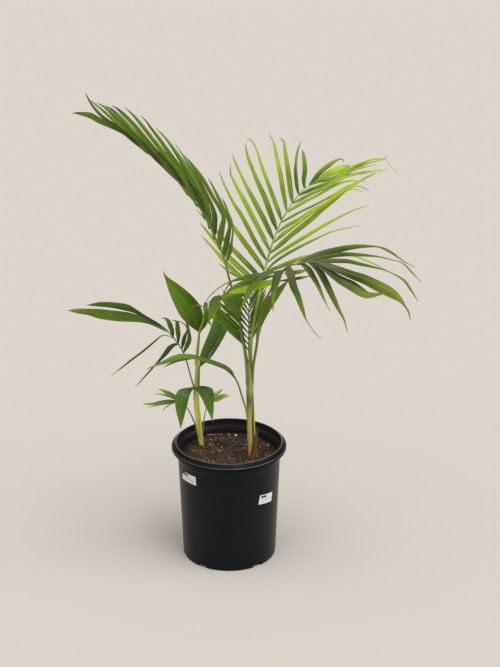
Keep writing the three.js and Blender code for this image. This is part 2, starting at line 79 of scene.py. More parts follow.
# ---- The dried sheath's two husks: x, y, z, width in millimetres --------------------------
HUSK_FRONT = [
    (45.2, -14.5, 200, 13), (46, -15.5, 205.5, 14.2), (48, -15.5, 215, 13.6), (49.7, -15.5, 230, 10.6),
    (52, -15, 248, 7.4), (53.9, -14, 262.5, 3), (55, -13, 271, 0.6),
]
HUSK_BACK = [
    (47, -12.4, 240, 2), (46.6, -12.2, 250, 3.2), (46.2, -11.8, 262, 3.4), (46.2, -11.4, 283, 3.6),
    (46.6, -11.0, 301, 2.6), (47.3, -10.8, 314, 0.6),
]

HUSK_STATIONS, HUSK_THICKNESS = 40, 0.7

# ---- The labels: angle from +X, middle height, tilt, width, height, cut corner ------------
LABELS = {
    "label_left": (-141.8, 184.6, 2.0, 43, 18, 8.0),
    "label_right": (-42.5, 143.5, -9.0, 36, 19, 0.0),
}
LABEL_COLUMNS, LABEL_ROWS = 28, 12
LABEL_LIFTS = (0.35, 0.75)  # its underside and its face, out from the wall

# ---- The leaves, in millimetres -----------------------------------------------------------
# "stalk" is the stalk's line. "leaflets" are centre lines from root to tip, each point with the
# width there as its fourth number. "lobes" are broad blades, given by their two edges.
LEAVES = {}
LEAVES["frond_upper_left"] = {
    "stalk": [(36, 3, 352), (35, 4, 387), (28, 4, 440), (18, 3, 496), (6, 0, 547), (0, -5.5, 573.9),
        (-5, -6.5, 597.9), (-13, -8.5, 621.9), (-24.9, -11.5, 650.8), (-36.9, -14.5, 680.8),
        (-50.9, -16.5, 705.8), (-68.9, -19.5, 728.8), (-84.9, -22.5, 751.7), (-101.9, -24.5, 773.7),
        (-118.9, -26.5, 790.7), (-135.8, -28.5, 805.7), (-156.8, -30.5, 822.7)],
    "leaflets": [
        [(-158.6, -29, 824.4, 2), (-179, -32, 842.3, 3), (-200.2, -35, 856, 7), (-221.4, -38, 867.7, 10.8),
         (-238.3, -40, 878.3, 11.3), (-252, -42, 882, 7.8), (-262, -43, 884, 3.5), (-268, -44, 884, 0.7)],
        [(-140, -28, 807, 2.2), (-160.5, -26, 825.7, 6.5), (-181.3, -24, 843.8, 7.6),
         (-200.3, -22, 857.7, 7.6), (-215.9, -20, 868.7, 7), (-228, -19, 881, 5.3), (-237, -18, 893, 4.4),
         (-243, -17, 904, 3.1), (-247, -16, 913, 0.6)],
        [(-123, -26, 792, 2.2), (-141.7, -23, 811.8, 6), (-162.5, -20, 831.9, 7.4),
         (-185.2, -16, 850.7, 6.8), (-204.2, -13, 868, 6), (-220, -11, 882, 4.4), (-232, -9, 892, 2.8),
         (-239, -8, 898, 0.6)],
        [(-105, -24, 773, 2.2), (-124, -30, 796, 6.3), (-144.2, -36, 821.7, 8.4), (-164.1, -43, 845.2, 8),
         (-184, -49, 868.2, 6.4), (-200, -54, 887, 5.5), (-213, -58, 900, 2.8), (-223, -60, 906, 0.6)],
        [(-88, -21, 754, 2.2), (-106, -18, 774, 7.1), (-126.5, -15, 797.8, 9), (-147.4, -12, 822.5, 8.8),
         (-168.2, -9, 845.3, 7.2), (-185.5, -6, 864.4, 6), (-201, -4, 879, 4.4), (-215, -2, 888, 0.6)],
        [(-71, -18, 727, 2.2), (-84.3, -24, 753.9, 9.5), (-101, -30, 781, 10.6), (-121.7, -36, 807.3, 9.8),
         (-141.7, -43, 834.4, 9.6), (-161.5, -49, 862.8, 8), (-180, -55, 885, 6.9), (-190, -58, 896, 3.5),
         (-198, -60, 901, 0.6)],
        [(-54.9, -15, 705.2, 3), (-65.5, -12, 727.8, 9), (-80, -10, 752, 10.7), (-97.1, -7, 777.2, 10),
         (-116.4, -3, 803.6, 9.8), (-135.6, 0, 828.4, 8), (-155, 3, 854, 7.1), (-170, 5, 872, 3.5),
         (-182, 7, 883, 0.6)],
        [(-42.1, -13, 682, 3), (-47, -17, 705.8, 10), (-57.5, -21, 728.3, 10.5), (-68.8, -26, 751.3, 10.5),
         (-82, -31, 777, 10.6), (-99, -37, 804, 8.8), (-117, -43, 834, 7), (-132, -49, 858, 4.4),
         (-142, -52, 874, 2.6), (-149, -54, 882, 0.6)],
        [(-33.4, -11, 662.4, 3), (-35, -9, 683.9, 10.5), (-39.4, -6, 705.6, 10.8), (-49.1, -4, 728, 10),
         (-61.5, 0, 751.1, 9.5), (-78, 3, 778, 9.8), (-94, 6, 803, 6.2), (-109, 9, 824, 3.6),
         (-120, 11, 836, 2.1), (-127, 12, 843, 0.6)],
        [(-25.1, -9, 641.8, 3), (-25.1, -14, 665.3, 11.5), (-24, -18, 689.2, 10), (-28.5, -22, 709.2, 7),
         (-37.4, -26, 730, 7), (-52, -31, 760, 8), (-62, -35, 780, 6.2), (-72, -39, 797, 3.5),
         (-81, -42, 814, 1.8), (-90, -46, 829, 0.6)],
        [(-15.8, -7, 622, 3.5), (-14.8, -4, 642.4, 12), (-11.5, -1, 662, 11), (-8.1, 0, 679.7, 8),
         (-14.9, 3, 695.8, 7), (-26.6, 5, 715.9, 8.5), (-46, 8, 750, 9), (-59, 11, 769, 6.3),
         (-71, 13, 785, 2.7), (-78, 14, 793, 0.6)],
        [(-8.3, -5, 604, 3), (-4.7, -10, 626.8, 10.5), (-0.3, -15, 650.4, 9.5), (3.2, -17, 668.2, 6),
         (-0.4, -21, 685.5, 6), (-10, -25, 709, 7.2), (-18, -30, 730, 6.2), (-25, -34, 747, 3.9),
         (-31, -37, 760, 2.1), (-34, -38, 765, 0.6)],
        [(-3, -4, 597, 2.7), (3.4, -1, 617, 8.5), (7, 1, 636, 3.6), (9, 4, 656, 3.3), (6, 6, 673, 4.4),
         (0, 8, 688, 4.4), (-5, 10, 702, 3.3), (-11, 12, 715, 0.6)],
    ],
}
LEAVES["frond_upper_right"] = {
    "stalk": [(41, 6, 352), (41, 2, 388.1), (42, -6, 434.1), (47, -8, 480.8), (55.9, -4, 526.9),
        (63.9, 9, 560.7), (68.9, 20, 579.1), (73, 29, 591), (78, 33, 608), (84, 39, 626), (91, 46, 642),
        (99, 54, 658), (109, 63, 673), (119, 73, 686), (131, 82, 699), (142, 92, 708), (156, 106, 711),
        (181, 124, 713), (202, 142, 713)],
    "leaflets": [
        [(49, 18, 544, 1.9), (31, 24, 553, 3), (14, 29, 558, 3), (1, 33, 565, 2.8), (-10, 37, 573, 2.2),
         (-19, 40, 580, 0.6)],
        [(44, 19, 542, 1.9), (29, 23, 553, 7.4), (14, 28, 565, 8.3), (1, 32, 577, 8.3), (-12, 37, 590, 6.5),
         (-26, 42, 606, 4.6), (-41, 47, 621, 3.7), (-50, 50, 631, 0.6)],
        [(55, 20, 545, 2.8), (40, 25, 558, 9.3), (27, 28, 570, 10.2), (12, 33, 583, 10.2),
         (-1, 37, 595, 9.3), (-15, 42, 610, 7.4), (-32, 48, 630, 5.5), (-44, 52, 644, 3.7),
         (-52, 55, 653, 0.6)],
        [(62, 22, 552, 2.8), (51, 25, 566, 8.3), (37, 29, 580, 9.2), (22, 33, 595, 9.2), (7, 37, 610, 8.3),
         (-8, 42, 626, 6.5), (-24, 46, 643, 5.5), (-41, 51, 661, 4.6), (-52, 54, 672, 2.2),
         (-59, 56, 679, 0.6)],
        [(67, 25, 570, 3.7), (59, 28, 583, 8.3), (44, 33, 603, 9.2), (29, 38, 623, 9.2), (14, 43, 643, 8.3),
         (3, 47, 659, 6.4), (-9, 53, 682, 4.6), (-20, 58, 704, 2.2), (-26, 60, 714, 0.6)],
        [(71, 29, 589, 3.7), (62, 32, 604, 8.3), (49, 37, 626, 8.8), (37, 41, 649, 8.3), (23, 46, 674, 7.4),
         (11, 50, 692, 5.5), (1, 54, 711, 4.6), (-8, 58, 729, 3.7), (-13, 60, 742, 2.2),
         (-16, 62, 751, 0.6)],
        [(77, 33, 606, 3.7), (68, 37, 625, 8.9), (55, 42, 651, 9.2), (42, 47, 675, 9.2), (30, 52, 698, 8.3),
         (19, 57, 717, 6.4), (11, 60, 733, 5.1), (5, 62, 745, 3.7), (5, 66, 764, 0.6)],
        [(84, 39, 625, 3.7), (77, 42, 640, 8.8), (66, 47, 663, 9.2), (55, 52, 684, 9.2), (44, 56, 704, 8.3),
         (33, 60, 724, 6.4), (23, 65, 744, 5.1), (15, 68, 761, 4), (10, 71, 774, 2.2), (8, 72, 780, 0.6)],
        [(90, 46, 642, 3.7), (85, 49, 657, 9.2), (77, 54, 678, 10.1), (70, 58, 697, 10.1),
         (61, 62, 717, 9.2), (53, 66, 734, 8.4), (45, 71, 753, 7.3), (38, 74, 770, 5.9), (34, 77, 785, 4),
         (32, 80, 797, 1.1)],
        [(99, 54, 658, 3.7), (94, 57, 673, 8.3), (86, 62, 694, 8.5), (79, 66, 712, 7.7), (72, 70, 730, 7),
         (65, 74, 748, 6.2), (59, 78, 765, 4.4), (54, 81, 781, 3.1), (48, 84, 794, 2.6), (43, 86, 801, 2.4),
         (38, 87, 804, 2.2), (33, 88, 802, 0.6)],
        [(108, 63, 674, 3.7), (106, 66, 688, 8.3), (102, 72, 710, 9.6), (98, 77, 735, 9.9),
         (93, 83, 758, 9.2), (88, 88, 780, 7.7), (84, 92, 796, 4), (80, 94, 803, 2.2), (76, 95, 807, 2.2),
         (77, 96, 811, 0.6)],
        [(119, 73, 686, 3.7), (117, 77, 700, 8.3), (114, 82, 722, 9.2), (111, 88, 744, 8.9),
         (107, 94, 767, 7.4), (104, 99, 787, 4.4), (102, 102, 796, 2.4), (98, 103, 799, 2.2),
         (94, 104, 800, 0.6)],
        [(131, 82, 699, 3.7), (129, 86, 711, 8), (127, 92, 729, 8.5), (126, 97, 746, 7.8),
         (127, 102, 763, 6.3), (130, 107, 779, 4.8), (133, 110, 787, 2.6), (136, 112, 793, 0.6)],
        [(142, 93, 708, 3.7), (141, 97, 722, 8.5), (143, 102, 739, 8.9), (142, 107, 755, 8.2),
         (140, 111, 767, 5.9), (138, 113, 774, 3), (135, 114, 775, 0.6)],
        [(151, 101, 712, 2.8), (162, 106, 724, 7.1), (174, 111, 736, 8.2), (187, 115, 745, 8.2),
         (199, 119, 753, 5.2), (208, 122, 756, 2.8), (214, 124, 754, 2.4), (215, 125, 748, 0.6)],
        [(67, 24, 567, 2.8), (80.9, 25, 573, 7), (97.5, 27, 579.2, 8), (116, 29, 586.3, 8),
         (136.3, 31, 593.8, 6.5), (158.5, 33, 597, 5.5), (184.4, 35, 599.9, 5), (210.4, 37, 599.2, 4.6),
         (236.6, 39, 593.6, 4.5), (255.5, 41, 585.1, 4), (274.4, 43, 575.5, 3), (293.5, 45, 564, 0.6)],
        [(71, 25, 571, 2.2), (85, 28, 585, 4.4), (103, 30, 598, 5.5), (125, 34, 610, 5.9),
         (149, 37, 622, 4.8), (171, 40, 632, 3.3), (191, 43, 640, 2.6), (215, 46, 645, 2.2),
         (244, 50, 650, 0.7)],
        [(73, 29, 585, 2.2), (86, 32, 597, 5.2), (107, 35, 611, 6.6), (131, 39, 625, 6.6),
         (155, 43, 639, 5.9), (178, 47, 652, 5.5), (202, 51, 664, 4.1), (228, 55, 676, 2.6),
         (258, 60, 685, 0.7)],
        [(78, 33, 602, 2.8), (94, 38, 615, 8.3), (112, 43, 630, 8), (133, 49, 646, 9.3),
         (153, 55, 661, 9.3), (173, 61, 678, 8.6), (193, 67, 693, 8), (212, 73, 707, 6), (230, 78, 718, 4),
         (249, 83, 728, 2.7), (269, 88, 736, 0.7)],
        [(84, 39, 620, 2.8), (99, 42, 634, 7.4), (118, 45, 648, 6.6), (138, 49, 663, 6.6),
         (160, 53, 679, 6), (182, 57, 693, 5.3), (202, 61, 707, 4.6), (222, 64, 717, 4),
         (237, 66, 720, 2.7), (250, 68, 716, 2.1), (260, 70, 708, 0.6)],
        [(91, 46, 637, 2.8), (107, 52, 648, 6.5), (129, 61, 658, 5.3), (153, 70, 671, 5.6),
         (176, 79, 682, 5.3), (196, 86, 693, 4.8), (215, 93, 702, 3.7), (230, 98, 705, 2.4),
         (250, 105, 698, 0.6)],
        [(99, 54, 654, 2.2), (116, 61, 663, 5.2), (136, 68, 672, 4), (157, 75, 680, 4), (178, 83, 689, 3.7),
         (200, 91, 699, 3.5), (219, 98, 709, 3), (238, 105, 716, 2.4), (256, 112, 724, 1.9),
         (275, 118, 730, 0.6)],
        [(109, 63, 671, 2.8), (125, 71, 680, 7), (144, 79, 688, 5.6), (165, 88, 696, 5.6),
         (185, 97, 705, 5.3), (204, 105, 713, 4.8), (223, 113, 716, 3.5), (240, 119, 715, 2.4),
         (256, 125, 711, 0.6)],
        [(119, 73, 685, 2.8), (135, 79, 692, 7), (153, 85, 700, 6.1), (174, 93, 708, 7),
         (195, 100, 717, 6.7), (213, 107, 724, 5.3), (232, 113, 728, 3.5), (253, 119, 729, 2.4),
         (272, 125, 729, 1.7), (288, 130, 727, 0.6)],
        [(131, 82, 698, 2.8), (146, 89, 704, 7.4), (163, 95, 710, 6.7), (182, 103, 715, 7.3),
         (201, 111, 721, 6.7), (219, 119, 729, 5.4), (238, 127, 735, 4), (258, 134, 738, 2.7),
         (280, 142, 739, 0.6)],
        [(152, 101, 713, 2.8), (167, 111, 720, 8.4), (182, 121, 726, 12.1), (198, 130, 731, 13.1),
         (211, 138, 734, 12.2), (222, 144, 736, 8.5), (228, 148, 736, 1.9)],
        [(167, 112, 714, 1.9), (186, 119, 717, 5.6), (205, 125, 722, 7.5), (222, 132, 731, 6.7),
         (239, 138, 739, 4.9), (258, 145, 745, 3.8), (277, 152, 748, 3), (293, 157, 747, 2.3),
         (300, 160, 752, 0.6)],
        [(175, 120, 714, 1.9), (198, 126, 718, 7.5), (218, 132, 725, 7.5), (239, 139, 734, 5.3),
         (260, 145, 741, 3.4), (279, 150, 744, 2.6), (296, 155, 746, 1.5), (303, 158, 736, 0.8),
         (312, 161, 725, 0.7), (323, 165, 715, 0.6)],
        [(183, 125, 713, 1.9), (205, 130, 716, 5.6), (228, 135, 721, 4.9), (249, 139, 725, 3.4),
         (272, 144, 727, 2.3), (299, 150, 727, 0.6)],
    ],
}
LEAVES["frond_right"] = {
    "stalk": [(44, -3, 352), (46, -4, 388), (52, -8, 429), (57, -14, 467), (64, -22, 504), (73, -34, 542),
        (87, -52, 579), (105, -70, 609.4), (125, -88, 623.1), (144, -103, 631), (158, -112, 634)],
    "leaflets": [
        [(123, -88, 622, 3.5), (139, -88, 630, 9.7), (160, -88, 639, 11), (185, -89, 647, 10.6),
         (210, -89, 653, 8.8), (234, -89, 656, 6.3), (254, -89, 656, 3.5), (266, -89, 655, 2.1),
         (278, -89, 651, 3.9), (291, -90, 644, 4.2), (302, -90, 636, 2.5), (316, -90, 626, 1.4),
         (333, -90, 617, 0.6)],
        [(136, -96, 628, 3.5), (155, -96, 635, 7.9), (178, -97, 641, 8.5), (202, -97, 644, 8.1),
         (227, -98, 644, 6.7), (250, -98, 642, 4.6), (271, -98, 639, 2.6), (291, -99, 634, 1.8),
         (306, -99, 630, 1.8), (316, -99, 623, 3.5), (326, -100, 612, 3.5), (336, -100, 601, 1.8),
         (344, -100, 593, 0.6)],
        [(148, -104, 631, 3.5), (167, -105, 634, 7), (190, -106, 635, 7.4), (213, -106, 634, 6.7),
         (235, -107, 629, 5.6), (257, -108, 624, 3.5), (276, -109, 619, 1.9), (292, -109, 612, 1.9),
         (305, -110, 605, 3.2), (315, -110, 597, 4.6), (323, -111, 585, 3.9), (331, -112, 573, 2.1),
         (338, -112, 561, 0.6)],
        [(158, -112, 633, 4.4), (177, -114, 629, 10.5), (198, -117, 622, 13.2), (221, -120, 614, 14.9),
         (244, -122, 606, 16.7), (265, -125, 596, 18.4), (283, -127, 587, 18.6), (297, -129, 578, 14.9),
         (307, -131, 569, 7.9), (313, -132, 560, 3.5), (319, -133, 551, 3.2), (322, -134, 542, 2.8),
         (323, -135, 534, 0.7)],
        [(154, -110, 632, 3.5), (167, -113, 626, 9.7), (182, -117, 617, 14.1), (200, -122, 606, 16.7),
         (219.3, -126, 596.7, 19), (236, -130, 586.1, 18), (245.6, -133, 581.6, 14),
         (259.4, -136, 582.7, 9), (278.2, -140, 587.7, 0.9)],
        [(144.1, -103, 631.4, 4.5), (152.8, -107, 627.3, 9.5), (162.5, -111, 619.3, 13),
         (171.2, -117, 606.6, 14), (180.1, -123, 590, 13), (188.9, -130, 572, 10.5),
         (196.8, -136, 555.5, 7), (206, -141, 538, 3.9), (210, -146, 524, 2.1), (213, -149, 515, 0.6)],
        [(130.4, -92, 624.8, 5), (138.3, -97, 622.8, 10), (145.3, -101, 616.7, 12),
         (151.4, -107, 607.6, 10.5), (157.8, -113, 598, 9), (163.2, -120, 588, 7.5),
         (167.8, -126, 578, 5.2), (174, -131, 564.8, 2.2), (181.1, -135, 551.3, 0.6)],
        [(108, -74, 610.9, 11), (112.4, -77, 604.4, 15.5), (115.4, -83, 594.3, 15),
         (118.9, -90, 581.7, 13.5), (125.6, -98, 567.6, 11), (131, -106, 553, 8.9), (136, -113, 539, 6),
         (140, -119, 529, 2.3), (147, -125, 519, 1.6), (156, -133, 508, 1.4), (167, -140, 500, 0.6)],
        [(103, -62, 595.3, 5), (115.6, -58, 596.2, 8.5), (128.3, -53, 596.5, 9), (146.5, -48, 597.9, 2)],
        [(94.2, -56, 578.8, 2.5), (112.3, -54, 581.3, 4.8), (130.3, -52, 583.5, 5.5),
         (150.2, -50, 586.6, 0.8)],
        [(60, -17, 476, 3.7), (65, -22, 496, 11), (73, -28, 517, 14.7), (84, -34, 538, 15.3),
         (96, -40, 557, 11.8), (110, -46, 577, 1.8)],
        [(53, -9, 437, 2.8), (56, -14, 461, 7.4), (60, -20, 485, 9.2), (64, -26, 509, 9.2),
         (69, -31, 531, 8.2), (77, -36, 552, 1.8)],
        [(92, -60, 582, 1.8), (80, -60, 579, 8.5), (65, -59, 574, 13.1), (49, -59, 570, 14),
         (33, -59, 565, 11.7), (17, -58, 561, 8.8), (2, -58, 557, 4.9), (-7, -58, 555, 0.7)],
        [(103, -66, 604, 3.6), (95, -71, 602, 9.8), (89, -75, 597, 14.3), (86, -82, 588, 12.5),
         (83, -89, 577, 9.8), (81, -97, 565, 6.4), (81, -105, 553, 3.6), (81, -112, 542, 0.6)],
        [(83, -56, 597, 2.7), (69, -63, 597, 7.2), (57, -69, 591, 11.6), (48, -76, 582, 12.2),
         (40, -83, 572, 10.7), (33, -90, 560, 7.9), (27, -97, 548, 4.3), (21, -104, 537, 0.6)],
        [(90, -62, 600, 1.8), (69, -65, 596, 6.5), (47, -67, 594, 6.8), (28, -70, 591, 4.7),
         (10, -72, 586, 2.5), (-6, -74, 579, 2.1), (-23, -77, 567, 1.8), (-32, -78, 558, 1.8),
         (-41, -80, 546, 0.7)],
        [(65, -54, 592, 1.8), (42, -60, 589, 5.4), (22, -64, 585, 4.3), (7, -68, 582, 2.5),
         (-1, -71, 573, 2.3), (-8, -75, 559, 2.3), (-16, -79, 542, 2.2), (-22, -83, 528, 2),
         (-28, -88, 508, 1.6), (-34, -92, 492, 0.6)],
        [(85, -48, 587, 2.7), (62, -49, 582, 9), (40, -50, 577, 10.8), (20, -51, 570, 9),
         (4, -51, 561, 5.4), (-9, -52, 548, 0.9)],
    ],
}
LEAVES["frond_middle"] = {
    "stalk": [(39, -3.6, 354), (39, -1, 393), (38, -2, 422), (38, -5, 464), (38, -9, 503), (42, -14, 532),
        (47, -20, 554)],
    "leaflets": [
        [(37, -2, 422, 1.9), (27, -2, 436, 5.6), (14, -3, 452, 10.2), (-1, -3, 467, 11.1),
         (-15, -3, 480, 9.3), (-30, -4, 489, 4.6), (-39, -4, 492, 0.7)],
        [(37, -3, 434, 1.9), (27, -3, 447, 4.5), (15, -4, 462, 8.4), (0, -4, 476, 10.2),
         (-15, -4, 490, 9.3), (-30, -5, 502, 5.5), (-42, -5, 508, 0.7)],
        [(37, -3, 445, 1.9), (27, -3, 458, 4.1), (16, -4, 472, 8.4), (2, -5, 486, 9.3), (-12, -5, 499, 8.3),
         (-26, -6, 512, 5.5), (-37, -6, 521, 0.7)],
        [(38, -4, 456, 1.9), (28, -5, 469, 4.1), (18, -5, 483, 7.4), (6, -6, 496, 8.3), (-7, -7, 509, 7.4),
         (-19, -7, 521, 4.6), (-28, -8, 530, 0.7)],
        [(38, -5, 468, 1.9), (29, -6, 480, 4.1), (19, -6, 493, 6.7), (8, -7, 505, 7.4), (-3, -8, 517, 6.3),
         (-13, -8, 529, 3.3), (-20, -9, 538, 0.7)],
        [(38, -6, 479, 1.9), (29, -7, 491, 4.1), (21, -8, 504, 5.9), (12, -9, 516, 6.6), (2, -10, 528, 5.5),
         (-6, -11, 539, 2.9), (-11, -12, 546, 0.7)],
        [(38, -7, 490, 1.8), (31, -8, 503, 4.1), (23, -10, 515, 5.5), (15, -11, 527, 5.9),
         (8, -13, 539, 4.8), (2, -14, 550, 0.7)],
        [(38, -9, 502, 1.8), (31, -11, 515, 4.1), (25, -13, 527, 5.5), (19, -15, 540, 5.5),
         (14, -17, 551, 4), (10, -18, 558, 0.7)],
        [(39, -10, 513, 1.8), (33, -13, 526, 4.4), (28, -15, 539, 5.5), (24, -18, 551, 4.8),
         (22, -20, 561, 0.7)],
        [(41, -12, 526, 1.8), (37, -16, 539, 4.8), (34, -19, 552, 5.1), (33, -22, 563, 0.7)],
        [(38, -2, 428, 1.9), (44, 2, 444, 4.1), (51, 6, 459, 4.5), (58.1, 10, 474.1, 2.8),
         (61.2, 14, 482.2, 0.7)],
        [(38, -3, 441, 1.9), (44, 1.3, 455.9, 4.5), (51, 5.5, 470.9, 4.8), (59.1, 9.7, 486.3, 3.7),
         (63.2, 14, 495.3, 0.7)],
        [(38, -4, 452, 1.9), (44, 0.5, 467.8, 4.8), (52, 5, 483.7, 5.6), (61.1, 9.5, 498.7, 4.4),
         (67.2, 14, 509.7, 0.7)],
        [(38, -5, 464, 1.9), (44, -0.2, 478.7, 4.8), (53.1, 4.5, 494.2, 5.5), (62.1, 9.3, 511.1, 4.8),
         (70.3, 14, 522, 0.7)],
        [(38, -6, 475, 1.9), (45, -1, 489.7, 4.8), (54.1, 4, 506, 5.5), (63.2, 9, 520.5, 5.1),
         (71.3, 14, 531.4, 0.7)],
        [(38, -7, 486, 1.9), (46, -1.7, 501.2, 4.8), (55.1, 3.5, 517.2, 5.5), (64.2, 8.8, 530.5, 5.1),
         (71.3, 14, 541, 0.7)],
        [(38, -8, 498, 1.8), (46, -2.5, 512.8, 4.8), (55.1, 3, 528.3, 5.5), (64.2, 8.5, 541.3, 5.1),
         (71.4, 14, 550.6, 0.7)],
        [(39, -10, 509, 1.8), (46, -4, 524.2, 4.8), (55.1, 2, 539.2, 5.5), (64.3, 8, 551.7, 4.4),
         (71.4, 14, 558.6, 0.7)],
        [(41, -12, 522, 1.8), (47, -3.3, 533.9, 4.8), (56.2, 5.3, 547.6, 4.7), (64.4, 14, 557.8, 0.9)],
    ],
}
LEAVES["leaf_bent_left"] = {
    "stalk": [(36, -8, 288), (32, -11, 307), (24, -15, 337), (18, -19, 360), (11, -23, 377)],
    "leaflets": [
        [(11, -23, 376, 3.4), (6, -25, 386, 7.5), (-4, -28, 397, 7.8), (-19, -32, 406, 7.8),
         (-38, -36, 415, 8.1), (-55.8, -40, 422.6, 7.4), (-72.2, -44, 426.7, 8), (-86.8, -47, 427.6, 9.5),
         (-103.3, -51, 424.4, 9), (-117, -54, 419.7, 6), (-129.8, -57, 415.8, 3.8),
         (-140.8, -60, 412.3, 2.6), (-150.8, -62, 407.9, 0.7)],
        [(-67, -34, 418, 1.9), (-81.8, -38, 417.8, 3.4), (-94.7, -41, 416.3, 3.9),
         (-107.5, -45, 412.3, 3.3), (-120.4, -48, 406.4, 0.7)],
    ],
}
LEAVES["leaf_folded"] = {
    "stalk": [(35, -4, 354), (33, -7, 388), (30, -11, 422), (25, -16, 452), (22, -20, 474), (21, -23, 491)],
    "leaflets": [
        [(-12, -34, 538, 5.5), (-21, -31, 535, 11), (-28, -27, 524, 14.6), (-31, -22, 510, 14.7),
         (-33, -18, 496, 9.2), (-36, -14, 484, 0.9)],
    ],
    "lobes": [
        ([(20, -24, 489), (10, -28, 505), (0, -32, 520), (-9, -34, 531), (-13, -34, 537), (-15, -30, 540),
          (-14, -22, 534), (-9, -14, 523), (-2, -10, 505)],
         [(23, -24, 489), (25, -28, 508), (25, -32, 525), (26, -34, 538), (27, -34, 545), (28, -30, 547),
          (27, -22, 541), (26, -14, 528), (25, -10, 513)]),
    ],
}
LEAVES["leaf_small_top"] = {
    "stalk": [(-62, 38, 376), (-59, 38, 406), (-57, 38, 424), (-55, 38, 444), (-49, 37, 463),
        (-46, 37, 483), (-42, 39, 500)],
    "leaflets": [
        [(-42, 46, 498, 6.4), (-44, 46, 489, 6.8), (-42, 45, 475, 8.7), (-38, 44, 462, 4.9),
         (-33, 44, 453, 0.8)],
    ],
    "lobes": [
        ([(-55.1, 38, 440.4), (-73, 39, 454), (-90, 40, 473), (-101, 41, 495), (-110, 43, 517),
          (-116, 45, 537), (-120, 47, 552), (-123.2, 48, 562.9)],
         [(-52.3, 38, 440.4), (-48, 39, 470), (-52, 40, 492), (-63.8, 41, 509.8), (-81.4, 43, 526.4),
          (-99.9, 45, 540.2), (-114, 47, 550), (-123.2, 48, 562.9)]),
        ([(-54, 38, 444), (-50, 40, 462), (-48, 42, 477), (-47, 44, 490), (-45, 46, 499)],
         [(-52, 38, 444), (-42, 40, 455), (-38, 42, 469), (-39, 44, 487), (-40, 46, 499)]),
    ],
}
LEAVES["leaf_small_dark"] = {
    "stalk": [(-60, 39, 318), (-58, 36, 328), (-57, 34, 352), (-56, 32, 375)],
    "lobes": [
        ([(-56, 32, 373), (-55, 31, 394), (-49, 29, 415), (-40, 28, 438), (-32, 27, 459), (-27, 27, 477),
          (-26, 28, 495), (-21, 29, 511)],
         [(-55, 32, 373), (-43, 31, 388), (-34, 29, 405), (-23, 28, 428), (-14, 27, 449), (-10, 27, 469),
          (-13, 28, 489), (-20, 29, 511)]),
        ([(-55, 32, 373), (-39, 29, 395), (-29, 26, 416), (-19, 24, 439), (-12, 22, 461), (-7, 22, 479),
          (2, 22, 493)],
         [(-55, 32, 373), (-39, 29, 388), (-28, 26, 403), (-17, 24, 422), (-7, 22, 442), (1, 22, 463),
          (3, 22, 493)]),
    ],
}
LEAVES["frond_small_left"] = {
    "stalk": [(-66.5, 38.5, 302), (-67, 35, 328), (-73, 33, 354), (-77, 30, 374), (-82, 27, 395),
        (-87, 25, 409), (-94, 23, 423), (-103, 19, 438), (-110, 15, 449)],
    "leaflets": [
        [(-104, 18, 440, 2.3), (-105, 18, 451, 7.1), (-109, 18, 464, 8.2), (-113, 18, 473, 6.4),
         (-119, 18, 478, 3), (-125, 18, 478, 0.6)],
        [(-95, 22, 426, 2.3), (-94, 21, 441, 6.8), (-95, 21, 455, 7.9), (-96, 21, 466, 6),
         (-99, 20, 472, 2.2), (-107, 20, 473, 0.6)],
        [(-96, 20, 471, 1.5), (-89, 20, 470, 1.5), (-82, 21, 464, 1.5), (-78, 22, 455, 1.1),
         (-77, 22, 447, 0.6)],
        [(-88, 24, 414, 2.3), (-85, 23, 427, 6.8), (-82, 23, 439, 6.8), (-78, 22, 451, 2.3),
         (-77, 22, 457, 0.6)],
        [(-85, 25, 406, 2.3), (-79, 23, 419, 7.5), (-74, 20, 433, 7.5), (-74, 18, 446, 5.2),
         (-76, 16, 460, 4.5), (-78, 13, 476, 4.1), (-78, 11, 490, 4.5), (-72, 9, 500, 4.1),
         (-63, 7, 506, 3), (-52, 6, 508, 3), (-45, 4, 505, 0.7)],
        [(-93, 22, 425, 2.8), (-102, 19, 425, 6.8), (-111, 15, 420, 10.1), (-119, 10, 411, 9),
         (-127, 6, 402, 6), (-136, 1, 393, 3.8), (-147, -5, 382, 3.4), (-159, -11, 370, 2.6),
         (-169, -16, 360, 1.9), (-176, -20, 354, 0.6)],
        [(-102, 16, 438, 1.9), (-111, 13, 444, 1.9), (-120, 11, 447, 1.9), (-128, 8, 445, 2.2),
         (-137, 5, 438, 3.6), (-150, 0, 428, 4.3), (-165, -5, 417, 4.5), (-180, -10, 407, 4.3),
         (-195, -15, 396, 3.4), (-208, -20, 387, 2.1), (-220, -24, 378, 0.6)],
    ],
    "lobes": [
        ([(-108, 15, 448), (-122, 12, 456), (-137, 9, 465), (-152, 6, 472), (-168, 3, 476), (-186, 0, 478),
          (-205, -2, 480), (-222.7, -7, 484.2), (-240.5, -11, 488.9), (-258, -17, 497.5),
          (-278.4, -25, 504.7), (-294.1, -34, 514)],
         [(-110, 15, 450), (-124, 12, 461), (-139, 9, 472), (-153, 6, 482), (-168, 3, 490), (-182, 0, 496),
          (-200, -2, 500), (-218.7, -7, 504.2), (-236.5, -11, 507.9), (-254, -17, 510.4),
          (-277.1, -25, 513.9), (-294.1, -34, 514)]),
        ([(-110, 15, 451), (-128, 14, 463), (-144, 13, 473), (-161, 12, 482), (-177, 10, 492),
          (-194, 9, 497), (-212, 7, 502), (-230, 6, 505), (-247, 5, 507), (-263.9, 4, 509.4)],
         [(-111, 15, 453), (-128, 14, 468), (-142, 13, 478), (-157, 12, 488), (-172, 10, 500),
          (-186, 9, 509), (-203, 7, 513), (-221, 6, 515), (-241, 5, 515), (-263.9, 4, 509.4)]),
    ],
}
